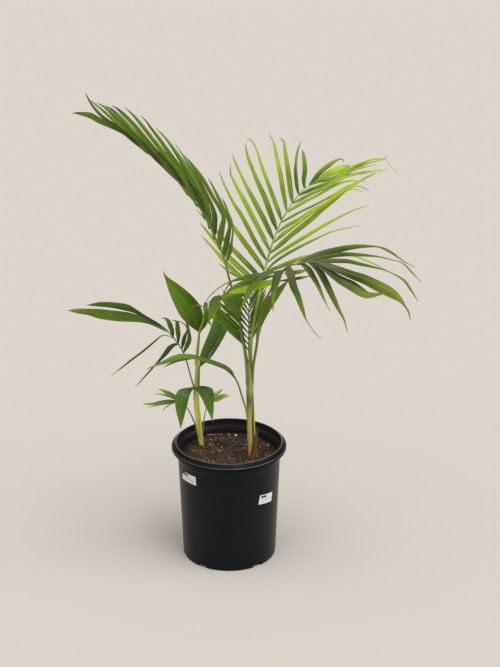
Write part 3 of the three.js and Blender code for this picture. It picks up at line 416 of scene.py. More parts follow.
LEAVES["leaf_small_front"] = {
    "stalk": [(-63, 35.5, 305), (-62, 33, 327), (-64, 26, 331), (-65, 20, 335)],
    "lobes": [
        ([(-67, 20, 337), (-81, 10, 340), (-94, 0, 340), (-100, -8, 333), (-101, -14, 319), (-99, -19, 304),
          (-95, -23, 288), (-91, -26, 270)],
         [(-66, 20, 334), (-69, 10, 335), (-72, 0, 333), (-75, -8, 326), (-78, -14, 315), (-82, -19, 301),
          (-86, -23, 286), (-91, -26, 270)]),
        ([(-65, 20, 334), (-59, 12, 333), (-55, 4, 327), (-50, -4, 321), (-45, -10, 312), (-40, -15, 304),
          (-36, -19, 296), (-33, -22, 290), (-31, -24, 286)],
         [(-64, 20, 337), (-53, 12, 343), (-40, 4, 345), (-31, -4, 344), (-28, -10, 338), (-28, -15, 324),
          (-28, -19, 309), (-29, -22, 297), (-30, -24, 286)]),
    ],
}
LEAVES["frond_low_left"] = {
    "stalk": [(-60.5, 40, 228), (-64, 41, 243), (-71, 46, 260), (-79, 50, 276), (-89, 53, 288),
        (-100, 55, 294)],
    "leaflets": [
        [(-99, 55, 296, 3.9), (-107, 56, 301, 8.7), (-116, 58, 306, 8.9), (-127, 59, 312, 4.6),
         (-137, 61, 315, 0.8)],
        [(-101, 55, 294, 1.5), (-113, 56, 300, 3.1), (-126, 57, 304, 3.1), (-135, 57, 306, 2.3),
         (-145, 58, 305, 0.6)],
        [(-101, 54, 293, 2.9), (-116, 53, 293, 6.2), (-132, 52, 291, 6.9), (-147, 51, 288, 5.4),
         (-159, 50, 288, 3.5), (-167, 50, 289, 0.6)],
        [(-105, 53, 291, 1.9), (-122, 51, 289, 3.9), (-139, 49, 286, 2.7), (-156, 47, 282, 0.6)],
        [(-103, 53, 290, 1.5), (-114, 49, 288, 2.7), (-122, 46, 283, 2.7), (-129, 42, 276, 0.6)],
    ],
}
LEAVES["frond_low_right"] = {
    "stalk": [(-51, 42, 184), (-53, 41, 203), (-51, 42, 232), (-49, 44, 257), (-45, 47, 277),
        (-39, 51, 294)],
    "leaflets": [
        [(-39, 51, 295, 1.9), (-30, 56, 304, 3.9), (-24, 60, 311, 0.8)],
        [(-39, 51, 295, 1.9), (-26, 55, 304, 4.6), (-18, 58, 311, 4.2), (-13, 60, 315, 1)],
        [(-39, 50, 292, 2.9), (-23, 50, 297, 6.2), (-11, 49, 303, 4.2), (2, 49, 307, 0.6)],
        [(-39, 50, 294, 1.9), (-25, 50, 302, 3.9), (-13, 50, 307, 3.5), (-3, 50, 309, 0.6)],
    ],
}


# ---- Curves, frames and rings -------------------------------------------------------------
CURVE_STEPS = 16  # between two given points


def mix(a, b, share):
    return a + (b - a) * share


def unit(v):
    return v / np.linalg.norm(v)


def polar(radius, angle):
    return radius * math.cos(angle), radius * math.sin(angle)


def around(count):
    """Angles at even steps round a circle."""
    return 2 * np.pi * np.arange(count) / count


def distance_along(line):
    """How far along a line each of its points lies."""
    return np.concatenate([[0], np.cumsum(np.linalg.norm(np.diff(line, axis=0), axis=1))])


def curve_through(points, count):
    """`count` points at even steps along a smooth line through the given ones."""
    p = np.array(points, float)
    padded = np.vstack([2 * p[0] - p[1], p, 2 * p[-1] - p[-2]])
    dense = []
    for a, b, c, d in zip(padded, padded[1:], padded[2:], padded[3:]):
        t1 = math.sqrt(np.linalg.norm(b - a))
        t2 = t1 + math.sqrt(np.linalg.norm(c - b))
        t3 = t2 + math.sqrt(np.linalg.norm(d - c))
        t = np.linspace(t1, t2, CURVE_STEPS, endpoint=False)[:, None]
        bc = mix(b, c, (t - t1) / (t2 - t1))
        abc = mix(mix(a, b, t / t1), bc, t / t2)
        bcd = mix(bc, mix(c, d, (t - t2) / (t3 - t2)), (t - t1) / (t3 - t1))
        dense.append(mix(abc, bcd, (t - t1) / (t2 - t1)))
    dense = np.vstack(dense + [p[-1:]])
    run = distance_along(dense)
    steps = np.linspace(0, run[-1], count)
    return np.stack([np.interp(steps, run, dense[:, k]) for k in range(3)], 1)


def widths_along(points, count):
    """The points' fourth numbers, taken at even steps of their line and softened."""
    run = distance_along(points[:, :3])
    even = np.interp(np.linspace(0, 1, count), run / run[-1], points[:, 3])
    padded = np.concatenate([even[:1], even, even[-1:]])
    return 0.25 * padded[:-2] + 0.5 * padded[1:-1] + 0.25 * padded[2:]


def frames_along(line, face):
    """Cross directions and surface normals along a line. The normal is carried on without twist."""
    normal = unit(np.array(face, float))
    across, normals = [], []
    for tangent in np.gradient(line, axis=0):
        tangent = unit(tangent)
        normal = unit(normal - tangent * normal.dot(tangent))
        normals.append(normal)
        across.append(np.cross(tangent, normal))
    return np.array(across), np.array(normals)


def level_ring(radius, z, count, centre=(0, 0)):
    """A level ring of points. The radius is one number, or one for each point."""
    angle = around(count)
    x, y = centre
    return np.stack([x + radius * np.cos(angle), y + radius * np.sin(angle), np.full(count, z)], 1)


def tube_rings(line, radius, wide, high, across, normals):
    """A ring square to a line at each of its points, with one section taken times each radius."""
    return [
        line[i] + radius[i] * (np.outer(wide, across[i]) + np.outer(high, normals[i]))
        for i in range(len(line))
    ]


# ---- Building meshes ----------------------------------------------------------------------
ATTRIBUTES = ("across", "along", "tone")  # point values that the materials read


class Builder:
    """Gathers closed shells with their materials and point values, then makes one object."""

    def __init__(self):
        self.points, self.faces, self.looks = [], [], []
        self.values = {name: [] for name in ATTRIBUTES}
        self.total = 0

    def add(self, points, faces, looks=None, **values):
        self.points.append(points)
        self.faces += [[i + self.total for i in face] for face in faces]
        self.looks += looks or [0] * len(faces)
        for name in ATTRIBUTES:
            value = np.broadcast_to(np.asarray(values.get(name, 0.0), float), (len(points),))
            self.values[name].append(value)
        self.total += len(points)

    def loft(self, rings, sides=None, bands=None, **values):
        """A closed shell through rings of one count, with a material for each side or each band."""
        count, steps = len(rings[0]), len(rings) - 1
        faces, looks = [], []
        for i in range(steps):
            low, high = i * count, (i + 1) * count
            for j in range(count):
                k = (j + 1) % count
                faces.append([low + j, low + k, high + k, high + j])
                looks.append(bands[i] if bands else sides[j] if sides else 0)
        faces += [list(range(count))[::-1], [steps * count + j for j in range(count)]]
        self.add(np.vstack(rings), faces, looks + 2 * looks[:1], **values)

    def make(self, name, materials=(), sharp=50.0):
        """One object, with faces turned out and edges sharp past an angle in degrees."""
        mesh = bpy.data.meshes.new(name)
        mesh.from_pydata(np.vstack(self.points) * MM, [], self.faces)
        for value_name, parts in self.values.items():
            layer = mesh.attributes.new(value_name, "FLOAT", "POINT")
            layer.data.foreach_set("value", np.concatenate(parts).astype(np.float32))
        for material in materials:
            mesh.materials.append(material)
        mesh.polygons.foreach_set("material_index", self.looks)
        bm = bmesh.new()
        bm.from_mesh(mesh)
        bmesh.ops.recalc_face_normals(bm, faces=bm.faces)
        bm.to_mesh(mesh)
        bm.free()
        smooth(mesh, sharp)
        return link(name, mesh)


def smooth(mesh, sharp):
    mesh.shade_smooth()
    mesh.set_sharp_from_angle(angle=math.radians(sharp))


def link(name, data):
    obj = bpy.data.objects.new(name, data)
    bpy.context.scene.collection.objects.link(obj)
    return obj


def dress(piece, node):
    """The piece rides on the one body and stands for a CAD node, which is hidden."""
    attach(piece, "root")
    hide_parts(node)


# ---- Leaf blades and stalks ---------------------------------------------------------------
LEAFLET_COLUMNS = np.array([-1, -0.84, -0.55, -0.25, -0.07, 0, 0.07, 0.25, 0.55, 0.84, 1])
LOBE_COLUMNS = np.linspace(-1, 1, 27)
LEAFLET_STATIONS, LEAFLET_STEPS = 12, 3  # at least so many, and more for each point of its line
LOBE_STATIONS, LOBE_PLEATS = 44, 6
LEAFLET_THICKNESS, LOBE_THICKNESS, EDGE_THICKNESS = 0.45, 0.5, 0.04
RIB_HEIGHT, RIB_WIDTH = 0.5, 0.6
STALK_SIDES, STALK_STEPS = 14, 8  # points round it, and stations for each point of its line
TOP, UNDER, STALK = 0, 1, 2
TO_VIEWER = np.array([0, -0.8, 0.6])


def shell(
    builder, columns, places, normals, half, thickness, tone, rib=RIB_HEIGHT, edge=EDGE_THICKNESS, under=UNDER
):
    """A closed thin shell: top and underside a hair apart, meeting at both edges, with a raised midrib."""
    stations = len(places)
    t = np.linspace(0, 1, stations)
    thick = 0.5 * thickness * np.sqrt(np.maximum(0, 1 - columns**2)) + edge
    rings = []
    for i in range(stations):
        ridge = rib * np.exp(-((columns * max(half[i], 0.4) / RIB_WIDTH) ** 2)) * (1 - 0.8 * t[i])
        upper = places[i] + np.outer(thick + 0.25 * ridge, normals[i])
        lower = places[i] - np.outer(thick + ridge, normals[i])
        rings.append(np.vstack([upper, lower[-2:0:-1]]))
    across = np.concatenate([columns, columns[-2:0:-1]])
    side = len(columns) - 1
    builder.loft(
        rings, [TOP] * side + [under] * side,
        across=np.tile(across, stations), along=np.repeat(t, len(across)), tone=tone,
    )


def leaflet(builder, points, face, fold, tone, wide):
    """A narrow leaflet along its centre line, folded along the midrib and slightly twisted."""
    points = np.array(points, float)
    stations = LEAFLET_STATIONS + LEAFLET_STEPS * len(points)
    line = curve_through(points[:, :3], stations)
    half = 0.5 * wide * widths_along(points, stations)
    across, normals = frames_along(line, face)
    twist = rng.uniform(-0.15, 0.15)
    turn = rng.uniform(-0.2, 0.2)
    wave = rng.uniform(0.03, 0.08)
    phase = rng.uniform(0, 6.3)
    crease = fold * rng.uniform(0.75, 1.25)
    u = LEAFLET_COLUMNS
    places = []
    for i, t in enumerate(np.linspace(0, 1, stations)):
        angle = twist + turn * t
        side = math.cos(angle) * across[i] + math.sin(angle) * normals[i]
        up = math.cos(angle) * normals[i] - math.sin(angle) * across[i]
        lift = -crease * half[i] * (np.sqrt(u**2 + 0.01) - 0.1)
        lift += wave * half[i] * np.sin(9 * t + phase + 2 * u) * u**2
        places.append(line[i] + np.outer(u * half[i], side) + np.outer(lift, up))
        normals[i] = up
    shell(builder, u, places, normals, half, LEAFLET_THICKNESS, tone)


def lobe(builder, edges, crown, tone):
    """A broad blade between two edges, crowned along its middle and pleated along its veins."""
    first, second = (curve_through(edge, LOBE_STATIONS) for edge in edges)
    gap = second - first
    half = 0.5 * np.linalg.norm(gap, axis=1)
    normals = np.cross(np.gradient(0.5 * (first + second), axis=0), gap)
    normals = normals / np.maximum(np.linalg.norm(normals, axis=1, keepdims=True), 1e-6)
    if normals[LOBE_STATIONS // 3].dot(TO_VIEWER) < 0:
        normals = -normals
    for i in range(1, LOBE_STATIONS):
        if normals[i].dot(normals[i - 1]) < 0 or half[i] < 0.5:
            normals[i] = normals[i - 1]
    u = LOBE_COLUMNS
    phase = rng.uniform(0, 6.3)
    places = []
    for i, t in enumerate(np.linspace(0, 1, LOBE_STATIONS)):
        lift = crown * half[i] * (1 - np.abs(u) ** 1.6)
        lift += 0.035 * half[i] * np.cos(u * np.pi * LOBE_PLEATS) * (1 - u**2) * math.sin(math.pi * t)
        lift += 0.05 * half[i] * np.sin(11 * t + phase + 2.5 * u) * u**2
        places.append(first[i] + np.outer((u + 1) / 2, gap[i]) + np.outer(lift, normals[i]))
    shell(builder, u, places, normals, half, LOBE_THICKNESS, tone)


def stalk(builder, points, radii):
    """A stalk that tapers from a flared base and is slightly hollow on its upper side."""
    start, end, flare = radii
    stations = STALK_STEPS * len(points)
    line = curve_through(points, stations)
    t = np.linspace(0, 1, stations)
    radius = mix(start, end, t) + flare * np.clip(1.6 - t / 0.09, 0, 1) ** 1.5
    angle = around(STALK_SIDES)
    hollow = 1 - 0.22 * np.exp(-(((angle - np.pi / 2) / 0.5) ** 2))
    wide, high = hollow * np.cos(angle), hollow * np.sin(angle)
    rings = tube_rings(line, radius, wide, high, *frames_along(line, (0.3, -1, 0.2)))
    builder.loft(
        rings, [STALK] * STALK_SIDES,
        across=np.tile(np.cos(angle), stations), along=np.repeat(t, STALK_SIDES), tone=rng.random(),
    )


def make_frond(
    name, look, stalk_look, radii, faces, turns=(),
    fold=0.4, wide=1.15, swing=0.0, tones=None, crown=(0.1, 0.1),
):
    """A frond or leaf as one object. From each of `turns` on, its leaflets face the next of `faces`.

    `fold` is how sharply they fold along the midrib, `wide` scales their widths, `swing` paints every second
    one lighter as a painted highlight,
    `tones` gives single ones a tone of their own, where a tone above 1.1 is painted light shining through,
    and `crown` arches the lobes.
    """
    leaf = LEAVES[name]
    builder = Builder()
    stalk(builder, leaf["stalk"], radii)
    for i, points in enumerate(leaf.get("leaflets", [])):
        face = faces[sum(i >= start for start in turns)]
        # Every second leaflet is painted lighter by `swing`: a painted highlight.
        tone = rng.uniform(0.15, 0.85) + swing * (-1) ** i
        leaflet(builder, points, face, fold, (tones or {}).get(i, tone), wide)
    for i, edges in enumerate(leaf.get("lobes", [])):
        lobe(builder, edges, crown[i], rng.uniform(0.3, 0.7))
    piece = builder.make(f"{name}_blades", leaf_pair(look) + [stalk_look])
    dress(piece, name)


# ---- The colours of leaves and stalks -----------------------------------------------------
LIT_THROUGH, BROWN_FLECK, RUST = (0.36, 0.62, 0.025), (0.11, 0.075, 0.03), (0.10, 0.045, 0.02)
AGED_YELLOW, ROOT_STREAK_GREY, AGED_BROWN = (0.36, 0.38, 0.035), (0.25, 0.225, 0.15), (0.13, 0.075, 0.025)
BROWN_TIP, PALE_TIP, DARK_TIP = (0.16, 0.10, 0.04), (0.34, 0.30, 0.12), (0.05, 0.035, 0.02)
LEAF_LOOKS = {
    # colour in shade, in light and at the tip, veins across, roughness, glow, gloss, brown flecks, age
    "edge_on": ((0.020, 0.054, 0.005), (0.195, 0.335, 0.03), DARK_TIP, 5, 0.36, 0.25, 0.16, 0.1, 0.12),
    # backlit: a paler, yellower green painted in as light shining through the leaflets, on top of their real
    # glow below the surface.
    "backlit": ((0.062, 0.145, 0.014), (0.45, 0.58, 0.048), PALE_TIP, 5, 0.40, 0.4, 0.14, 0.1, 0),
    "grey": ((0.033, 0.060, 0.007), (0.115, 0.205, 0.014), BROWN_TIP, 7, 0.30, 0.15, 0.13, 0.3, 0.5),
    "inner": ((0.015, 0.052, 0.004), (0.15, 0.295, 0.022), PALE_TIP, 5, 0.40, 0.25, 0.16, 0.1, 0),
    "arched": ((0.028, 0.07, 0.007), (0.145, 0.24, 0.025), PALE_TIP, 7, 0.32, 0.25, 0.2, 0.1, 0),
    "folded": ((0.034, 0.092, 0.006), (0.20, 0.32, 0.022), PALE_TIP, 13, 0.34, 0.25, 0.22, 0.1, 0),
    "ribbed": ((0.02, 0.062, 0.004), (0.17, 0.29, 0.017), BROWN_TIP, 13, 0.4, 0.3, 0.16, 0.1, 0),
    "dark": ((0.020, 0.066, 0.006), (0.115, 0.25, 0.02), BROWN_TIP, 13, 0.22, 0.15, 0.4, 0.1, 0),
    "side": ((0.022, 0.055, 0.005), (0.135, 0.228, 0.018), PALE_TIP, 9, 0.30, 0.2, 0.2, 0.2, 0),
    "hood": ((0.022, 0.08, 0.006), (0.13, 0.25, 0.018), PALE_TIP, 13, 0.28, 0.2, 0.32, 0.1, 0),
    "low": ((0.055, 0.115, 0.014), (0.29, 0.38, 0.085), PALE_TIP, 5, 0.42, 0.3, 0.2, 0.1, 0),
}


# ---- Materials ----------------------------------------------------------------------------
LEAF_SCATTER, SKIN_SCATTER = (0.9, 1.0, 0.15), (0.8, 1.0, 0.3)  # red, green and blue below the surface


class Value:
    """An output of a node, which takes part in plain sums."""

    def __init__(self, shader, socket):
        self.shader, self.socket = shader, socket

    def __add__(self, other):
        return self.shader.math("ADD", self, other)

    def __sub__(self, other):
        return self.shader.math("SUBTRACT", self, other)

    def __mul__(self, other):
        return self.shader.math("MULTIPLY", self, other)

    def __pow__(self, other):
        return self.shader.math("POWER", self, other)

    def __abs__(self):
        return self.shader.math("ABSOLUTE", self)


class Shader:
    """A short way to write node trees. What makes a node returns the Value that comes out of it."""

    def __init__(self, name):
        self.material = bpy.data.materials.new(name)
        self.material.use_nodes = True
        self.tree = self.material.node_tree

    def feed(self, socket, value):
        if isinstance(value, Value):
            self.tree.links.new(value.socket, socket)
        else:
            socket.default_value = (*value, 1) if socket.type == "RGBA" else value

    def node(self, kind, output, inputs=None, **settings):
        node = self.tree.nodes.new(kind)
        for key, value in settings.items():
            setattr(node, key, value)
        for key, value in (inputs or {}).items():
            self.feed(node.inputs[key], value)
        return Value(self, node.outputs[output])

    def value(self, name):
        return self.node("ShaderNodeAttribute", "Fac", attribute_name=name)

    def math(self, operation, a, b=0.0, clamp=False):
        return self.node("ShaderNodeMath", 0, {0: a, 1: b}, operation=operation, use_clamp=clamp)

    def noise(self, scale, detail=4.0, rough=0.55, stretch=(1, 1, 1)):
        spot = self.node("ShaderNodeTexCoord", "Object")
        spot = self.node("ShaderNodeMapping", 0, {"Vector": spot, "Scale": stretch})
        inputs = {"Vector": spot, "Scale": scale, "Detail": detail, "Roughness": rough}
        return self.node("ShaderNodeTexNoise", "Fac", inputs)

    def ramp(self, factor, stops):
        colour = self.node("ShaderNodeValToRGB", "Color", {"Fac": factor})
        elements = colour.socket.node.color_ramp.elements
        while len(elements) < len(stops):
            elements.new(0.5)
        for element, (position, stop) in zip(elements, stops):
            element.position = position
            element.color = (*stop, 1)
        return colour

    def blend(self, factor, a, b):
        return self.node("ShaderNodeMix", 2, {0: factor, 6: a, 7: b}, data_type="RGBA")

    def bump(self, height, distance, strength):
        return self.node("ShaderNodeBump", 0, {"Height": height, "Distance": distance, "Strength": strength})

    def range(self, value, low, high, to_low=0.0, to_high=1.0):
        inputs = {0: value, 1: low, 2: high, 3: to_low, 4: to_high}
        return self.node("ShaderNodeMapRange", 0, inputs, clamp=True)

    def set(self, **inputs):
        """Feeds the surface's inputs and gives the finished material."""
        surface = self.tree.nodes["Principled BSDF"]
        for key, value in inputs.items():
            self.feed(surface.inputs[key.replace("_", " ")], value)
        return self.material


def shade(colour, times, plus=0.0):
    """A lighter or darker version of a colour."""
    return tuple(times * c + plus for c in colour)


def leaf_material(name, dark, light, tip, veins, rough, glow, gloss, flecked, aged):
    """A leaf's face: veins that run with it, a paler midrib, mottling, dark edges, a dried tip, and painted
    shade that darkens one half of each blade.
    """
    s = Shader(name)
    across, along, tone = s.value("across"), s.value("along"), s.value("tone")
    side = abs(across)
    mottle = s.noise(30, 5, 0.6)
    # One half of each blade is painted darker than the other (across * -0.14): painted shade, as from lamps
    # on one side. The colour also runs darker towards the root.
    body = tone * 0.5 + mottle * 0.7 + s.range(along, 0.0, 0.8, -0.42, 0.12) + across * -0.14
    colour = s.ramp(body, [(0.1, dark), (0.8, light)])
    colour = s.blend(s.range(tone, 1.1, 2.1), colour, LIT_THROUGH)
    vein = abs(s.math("COSINE", across * (math.pi * veins / 2))) ** 8
    fine = s.math("COSINE", across * (math.pi * veins * 2.5))
    deeper = shade(dark, 0.55)
    colour = s.blend(vein * 0.42, colour, deeper)
    colour = s.blend(s.range(side, 0.02, 0.10, 1, 0) * 0.3, colour, shade(light, 1.25, 0.02))
    rim = s.range(side, 0.86, 1.0)
    if aged:
        colour = s.blend(rim * 0.7, colour, tuple(mix(a, b, 0.75) for a, b in zip(deeper, tip)))
    else:
        colour = s.blend(rim * 0.45, colour, deeper)
    colour = s.blend(s.range(s.noise(210, 4, 0.7), 0.68, 0.75) * flecked, colour, BROWN_FLECK)
    if aged:
        old = s.range(tone, 1.05, 1.2, aged, 0)
        yellow = s.range(along + mottle * 0.3, 0.5, 1.2)
        colour = s.blend(yellow * old, colour, AGED_YELLOW)
        # Paler grey streaks along the fine veins near the root.
        root_streaks = s.range(along, 0.3, 0.06) * s.range(fine, -1, 1, 0.5, 1)
        colour = s.blend(root_streaks * old, colour, ROOT_STREAK_GREY)
        brown = s.range(side, 0.6, 1.0) * s.range(s.noise(26, 3), 0.45, 0.62)
        colour = s.blend(brown * old, colour, AGED_BROWN)
    dry = along + (s.noise(55, 2) - 0.5) * 0.35 + side * 0.05
    colour = s.blend(s.range(dry, 0.86, 1.02) * 0.85, colour, tip)
    height = vein * -0.6 + fine * 0.12 + s.noise(160, 3) * 0.35
    return s.set(
        Base_Color=colour, Roughness=s.range(mottle, 0.3, 0.7, rough - 0.06, rough + 0.08),
        Normal=s.bump(height, 0.00025, 0.7), Specular_IOR_Level=gloss,
        Subsurface_Weight=glow, Subsurface_Radius=LEAF_SCATTER, Subsurface_Scale=0.0015,
    )


def leaf_pair(look):
    """The two faces of a leaf: the upper one waxy, the under one paler and duller."""
    dark, light, tip, veins, rough, glow, gloss, flecked, aged = LEAF_LOOKS[look]
    upper = leaf_material(f"{look}_leaf_top", dark, light, tip, veins, rough, glow, gloss, flecked, aged)
    dark, light, rough, gloss = shade(dark, 1.3, 0.006), shade(light, 1.1, 0.01), rough + 0.12, 0.6 * gloss
    under = leaf_material(f"{look}_leaf_under", dark, light, tip, veins, rough, glow, gloss, flecked, aged)
    return [upper, under]


def stalk_material(name, dark, light, flecked=0.0, far=None):
    """A stalk: fine lengthwise stripes, another colour further out, and rusty flecks where it has them."""
    s = Shader(name)
    along = s.value("along")
    stripes = s.noise(60, 3, 0.5, (1, 1, 0.06)) + s.math("SINE", s.value("across") * 40) * 0.12
    colour = s.ramp(s.range(stripes, 0.3, 0.75), [(0.0, dark), (1.0, light)])
    colour = s.blend(s.range(along, 0.22, 0.42) * 0.55, colour, far or dark)
    rust = s.range(s.noise(420, 3, 0.6, (1, 1, 0.35)), 0.56, 0.66) * s.range(along, 0.15, 0.45)
    colour = s.blend(rust * flecked, colour, RUST)
    return s.set(
        Base_Color=colour, Roughness=s.range(stripes, 0.3, 0.7, 0.36, 0.5),
        Normal=s.bump(stripes, 0.0004, 0.5),
        Subsurface_Weight=0.12, Subsurface_Radius=SKIN_SCATTER, Subsurface_Scale=0.0015,
    )


def stem_material(name, dark, light, crown, scar):
    """Green stem skin with pale and dark stripes, browned along the edge of each wrap."""
    s = Shader(name)
    along = s.value("along")
    stripes = s.noise(34, 4, 0.6, (1, 1, 0.04))
    pick = stripes * 0.7 + s.noise(160, 2, 0.5, (1, 1, 0.03)) * 0.45
    stops = [(0.0, dark), (0.55, light), (1.0, shade(light, 1.25))]
    colour = s.ramp(s.range(pick, 0.38, 0.78), stops)
    colour = s.blend(s.range(along, 0.5, 0.8) * 0.65, colour, crown)
    ring = s.range(abs(along + stripes * 0.12 - 0.72), 0.02, 0.09, 1, 0)
    colour = s.blend(ring * scar, colour, (0.10, 0.085, 0.03))
    dry = s.range(s.value("tone") + s.noise(50, 3) * 0.5, 0.75, 1.15)
    colour = s.blend(dry * 0.85, colour, (0.10, 0.035, 0.015))
    return s.set(
        Base_Color=colour, Roughness=s.range(pick, 0.4, 0.8, 0.34, 0.5),
        Normal=s.bump(pick, 0.0005, 0.6),
        Subsurface_Weight=0.15, Subsurface_Radius=SKIN_SCATTER, Subsurface_Scale=0.002,
    )


def sheath_material():
    """Dried brown fibre with a straw-coloured streak at the foot, darker towards the points."""
    s = Shader("dried_sheath")
    u, along = s.value("across"), s.value("along")
    fibre = s.noise(90, 5, 0.65, (1, 1, 0.05)) + s.math("COSINE", u * 19) * 0.09
    stops = [(0, (0.022, 0.006, 0.003)), (0.45, (0.15, 0.045, 0.014)), (1, (0.40, 0.17, 0.065))]
    colour = s.ramp(s.range(fibre, 0.3, 0.72), stops)
    straw = s.range(along, 0.3, 0.05) * s.range(abs(u - 0.1), 0.3, 0.05)
    colour = s.blend(straw * 0.75, colour, (0.50, 0.38, 0.14))
    colour = s.blend(s.range(along, 0.45, 0.9) * 0.5, colour, (0.09, 0.018, 0.010))
    return s.set(Base_Color=colour, Roughness=0.6, Normal=s.bump(fibre, 0.0012, 1.0))


def pot_material(name, base, dusty, rough, gloss):
    """Moulded black plastic: a faint orange peel, rubbed and dusty patches."""
    s = Shader(name)
    dust = s.range(s.noise(24, 6, 0.65), 0.5, 0.85)
    height = s.noise(1400, 2, 0.5) * 0.5 + s.noise(110, 4, 0.7, (1, 1, 0.25)) * 0.5
    return s.set(
        Base_Color=s.blend(dust * 0.25, base, dusty),
        Roughness=s.range(s.noise(7, 5, 0.6), 0.3, 0.7, rough, rough + 0.1) + dust * 0.1,
        Normal=s.bump(height, 0.00012, 0.5), Specular_IOR_Level=gloss, Specular_Tint=(0.93, 0.99, 1.06),
    )


def soil_material(name, stops, scale):
    """Grit, darker or lighter by each lump's tone."""
    s = Shader(name)
    grit = s.noise(scale, 8, 0.7)
    pick = s.math("SUBTRACT", s.value("tone") * 0.75 + grit * 0.4, 0.1, clamp=True)
    return s.set(
        Base_Color=s.ramp(pick, stops), Roughness=s.range(grit, 0.3, 0.7, 0.82, 0.97),
        Normal=s.bump(grit, 0.0008, 0.8),
    )


def label_material():
    """A paper sticker with a plain bar and a few grey lines, placed by its own two directions."""
    s = Shader("blank_label")
    u, v = s.value("across"), s.value("along")

    def box(left, right, low, high):
        beside = s.math("GREATER_THAN", u, left) * s.math("LESS_THAN", u, right)
        return beside * (s.math("GREATER_THAN", v, low) * s.math("LESS_THAN", v, high))

    paper = s.ramp(s.noise(300, 4), [(0.3, (0.76, 0.72, 0.73)), (0.7, (0.88, 0.84, 0.85))])
    colour = s.blend(box(0.09, 0.5, 0.66, 0.90), paper, (0.03, 0.03, 0.035))
    for low in (0.2, 0.34, 0.48):
        colour = s.blend(box(0.12, 0.86, low, low + 0.045) * 0.75, colour, (0.28, 0.27, 0.29))
    return s.set(Base_Color=colour, Roughness=0.55, Normal=s.bump(s.noise(500, 3), 0.0001, 0.4))


# ---- The pot ------------------------------------------------------------------------------
OUTSIDE, RIM, INSIDE, LIP, CORNER = range(5)
POT_SHARP = 38  # degrees
NOTCH_HALF, NOTCH_HEIGHT, NOTCH_CORNER = 10.0, 6.5, 4.0


def wall_radius(z):
    """The pot's outside radius at a height, below the rim."""
    return mix(POT_FOOT, POT_NECK, z / RIM_BOTTOM)


def pot_profile():
    """The section of the pot, from the middle of its underside round to the middle of its floor."""
    foot = [(40, 0), (84, 0), (88.4, 0), (89.5, 0.35), (89.95, 1.4)]
    wall = [(wall_radius(z), z) for z in (6, 20, 45, 75, 110, 145, 175, 200, 204.2)]
    collar = [(wall_radius(z) + out, z) for z, out in ((205.1, 0.15), (206, 0.85), (207.2, 1), (217, 0.95))]
    neck = [(POT_NECK + out, RIM_BOTTOM - down) for out, down in ((0.9, 0.9), (1.6, 0.25))]
    rim_steps = (  # in from the rim's edge, and up from its underside to the top at 13
        (2, 0), (0.9, 0.02), (0.3, 0.25), (0, 0.9), (0, 5.0), (0.35, 6.0), (1.1, 6.8), (2.2, 7.5),
        (3.8, 8.8), (7.0, 11.5), (7.7, 12.5), (8.5, 13.0), (9.5, 12.9), (10, 12.2), (10, 10.8),
    )
    rim = [(POT_RIM - inward, RIM_BOTTOM + up) for inward, up in rim_steps]
    ledge = [(POT_MOUTH - inward, z) for inward, z in ((0.5, 226), (0.9, 221.6), (1.3, 220.6), (2.5, 218.4))]
    inside = [(wall_radius(z) - POT_WALL, z) for z in (217, 206, 190, 100)]
    floor = [(wall_radius(8) - POT_WALL, 6), (POT_FOOT - 4.5, POT_FLOOR), (40, POT_FLOOR)]
    return foot + wall + collar + neck + rim + ledge + inside + floor


def pot_look(i, neck, corner, lip):
    """The material of the pot's band number i, going up the outside and down the inside."""
    # Bands inside the mouth take the lighter inside plastic: painted light.
    if i > lip + 2:
        return INSIDE
    # The lip's bands take a light brownish copy of the plastic: a painted highlight.
    if lip - 1 <= i <= lip + 1:
        return LIP
    # The rim's outer corner takes a lighter, glossier copy of the plastic: its lighter colour is a painted
    # highlight line, its gloss is real.
    if corner <= i < corner + 2:
        return CORNER
    return RIM if i > neck else OUTSIDE


def make_pot(materials):
    """The pot, turned round its section, with notches cut through its foot."""
    outline = pot_profile()
    heights = [z for _, z in outline]
    lip = heights.index(max(heights))
    neck, corner = (next(i for i, z in enumerate(heights) if z >= RIM_BOTTOM + up) for up in (0, 5))
    builder = Builder()
    rings = [level_ring(radius, z, POT_SIDES) for radius, z in outline]
    builder.loft(rings, bands=[pot_look(i, neck, corner, lip) for i in range(len(outline) - 1)])
    pot = builder.make("pot_shell", materials, POT_SHARP)
    cutter = drain_cutter()
    cut = pot.modifiers.new("drains", "BOOLEAN")
    cut.object, cut.operation, cut.solver = cutter, "DIFFERENCE", "EXACT"
    cut_pot = pot.evaluated_get(bpy.context.evaluated_depsgraph_get())
    mesh = bpy.data.meshes.new_from_object(cut_pot)
    pot.modifiers.clear()
    pot.data = mesh
    bpy.data.objects.remove(cutter)
    smooth(mesh, POT_SHARP)
    dress(pot, "pot")


def drain_cutter():
    """Arched notches through the foot of the wall, each with a short way in under the floor."""
    arch = [(-NOTCH_HALF, -2), (NOTCH_HALF, -2)]
    for side in (1, -1):
        for turn in np.linspace(0, math.pi / 2, 7)[::side]:
            x, z = polar(NOTCH_CORNER, turn)
            arch.append((side * (NOTCH_HALF - NOTCH_CORNER + x), NOTCH_HEIGHT - NOTCH_CORNER + z))
    builder = Builder()
    for k in range(DRAIN_COUNT):
        angle = math.radians(DRAIN_FIRST + 360 * k / DRAIN_COUNT)
        out = np.array([math.cos(angle), math.sin(angle), 0])
        side = np.array([-math.sin(angle), math.cos(angle), 0])
        rings = []
        for inward, bottom in ((15, 1.2), (9, 1.2), (8.9, -2), (-6, -2)):
            reach = out * (POT_FOOT - inward)
            rings.append([reach + side * x + np.array([0, 0, max(z, bottom)]) for x, z in arch])
        builder.loft(rings)
    return builder.make("drain_cutter")


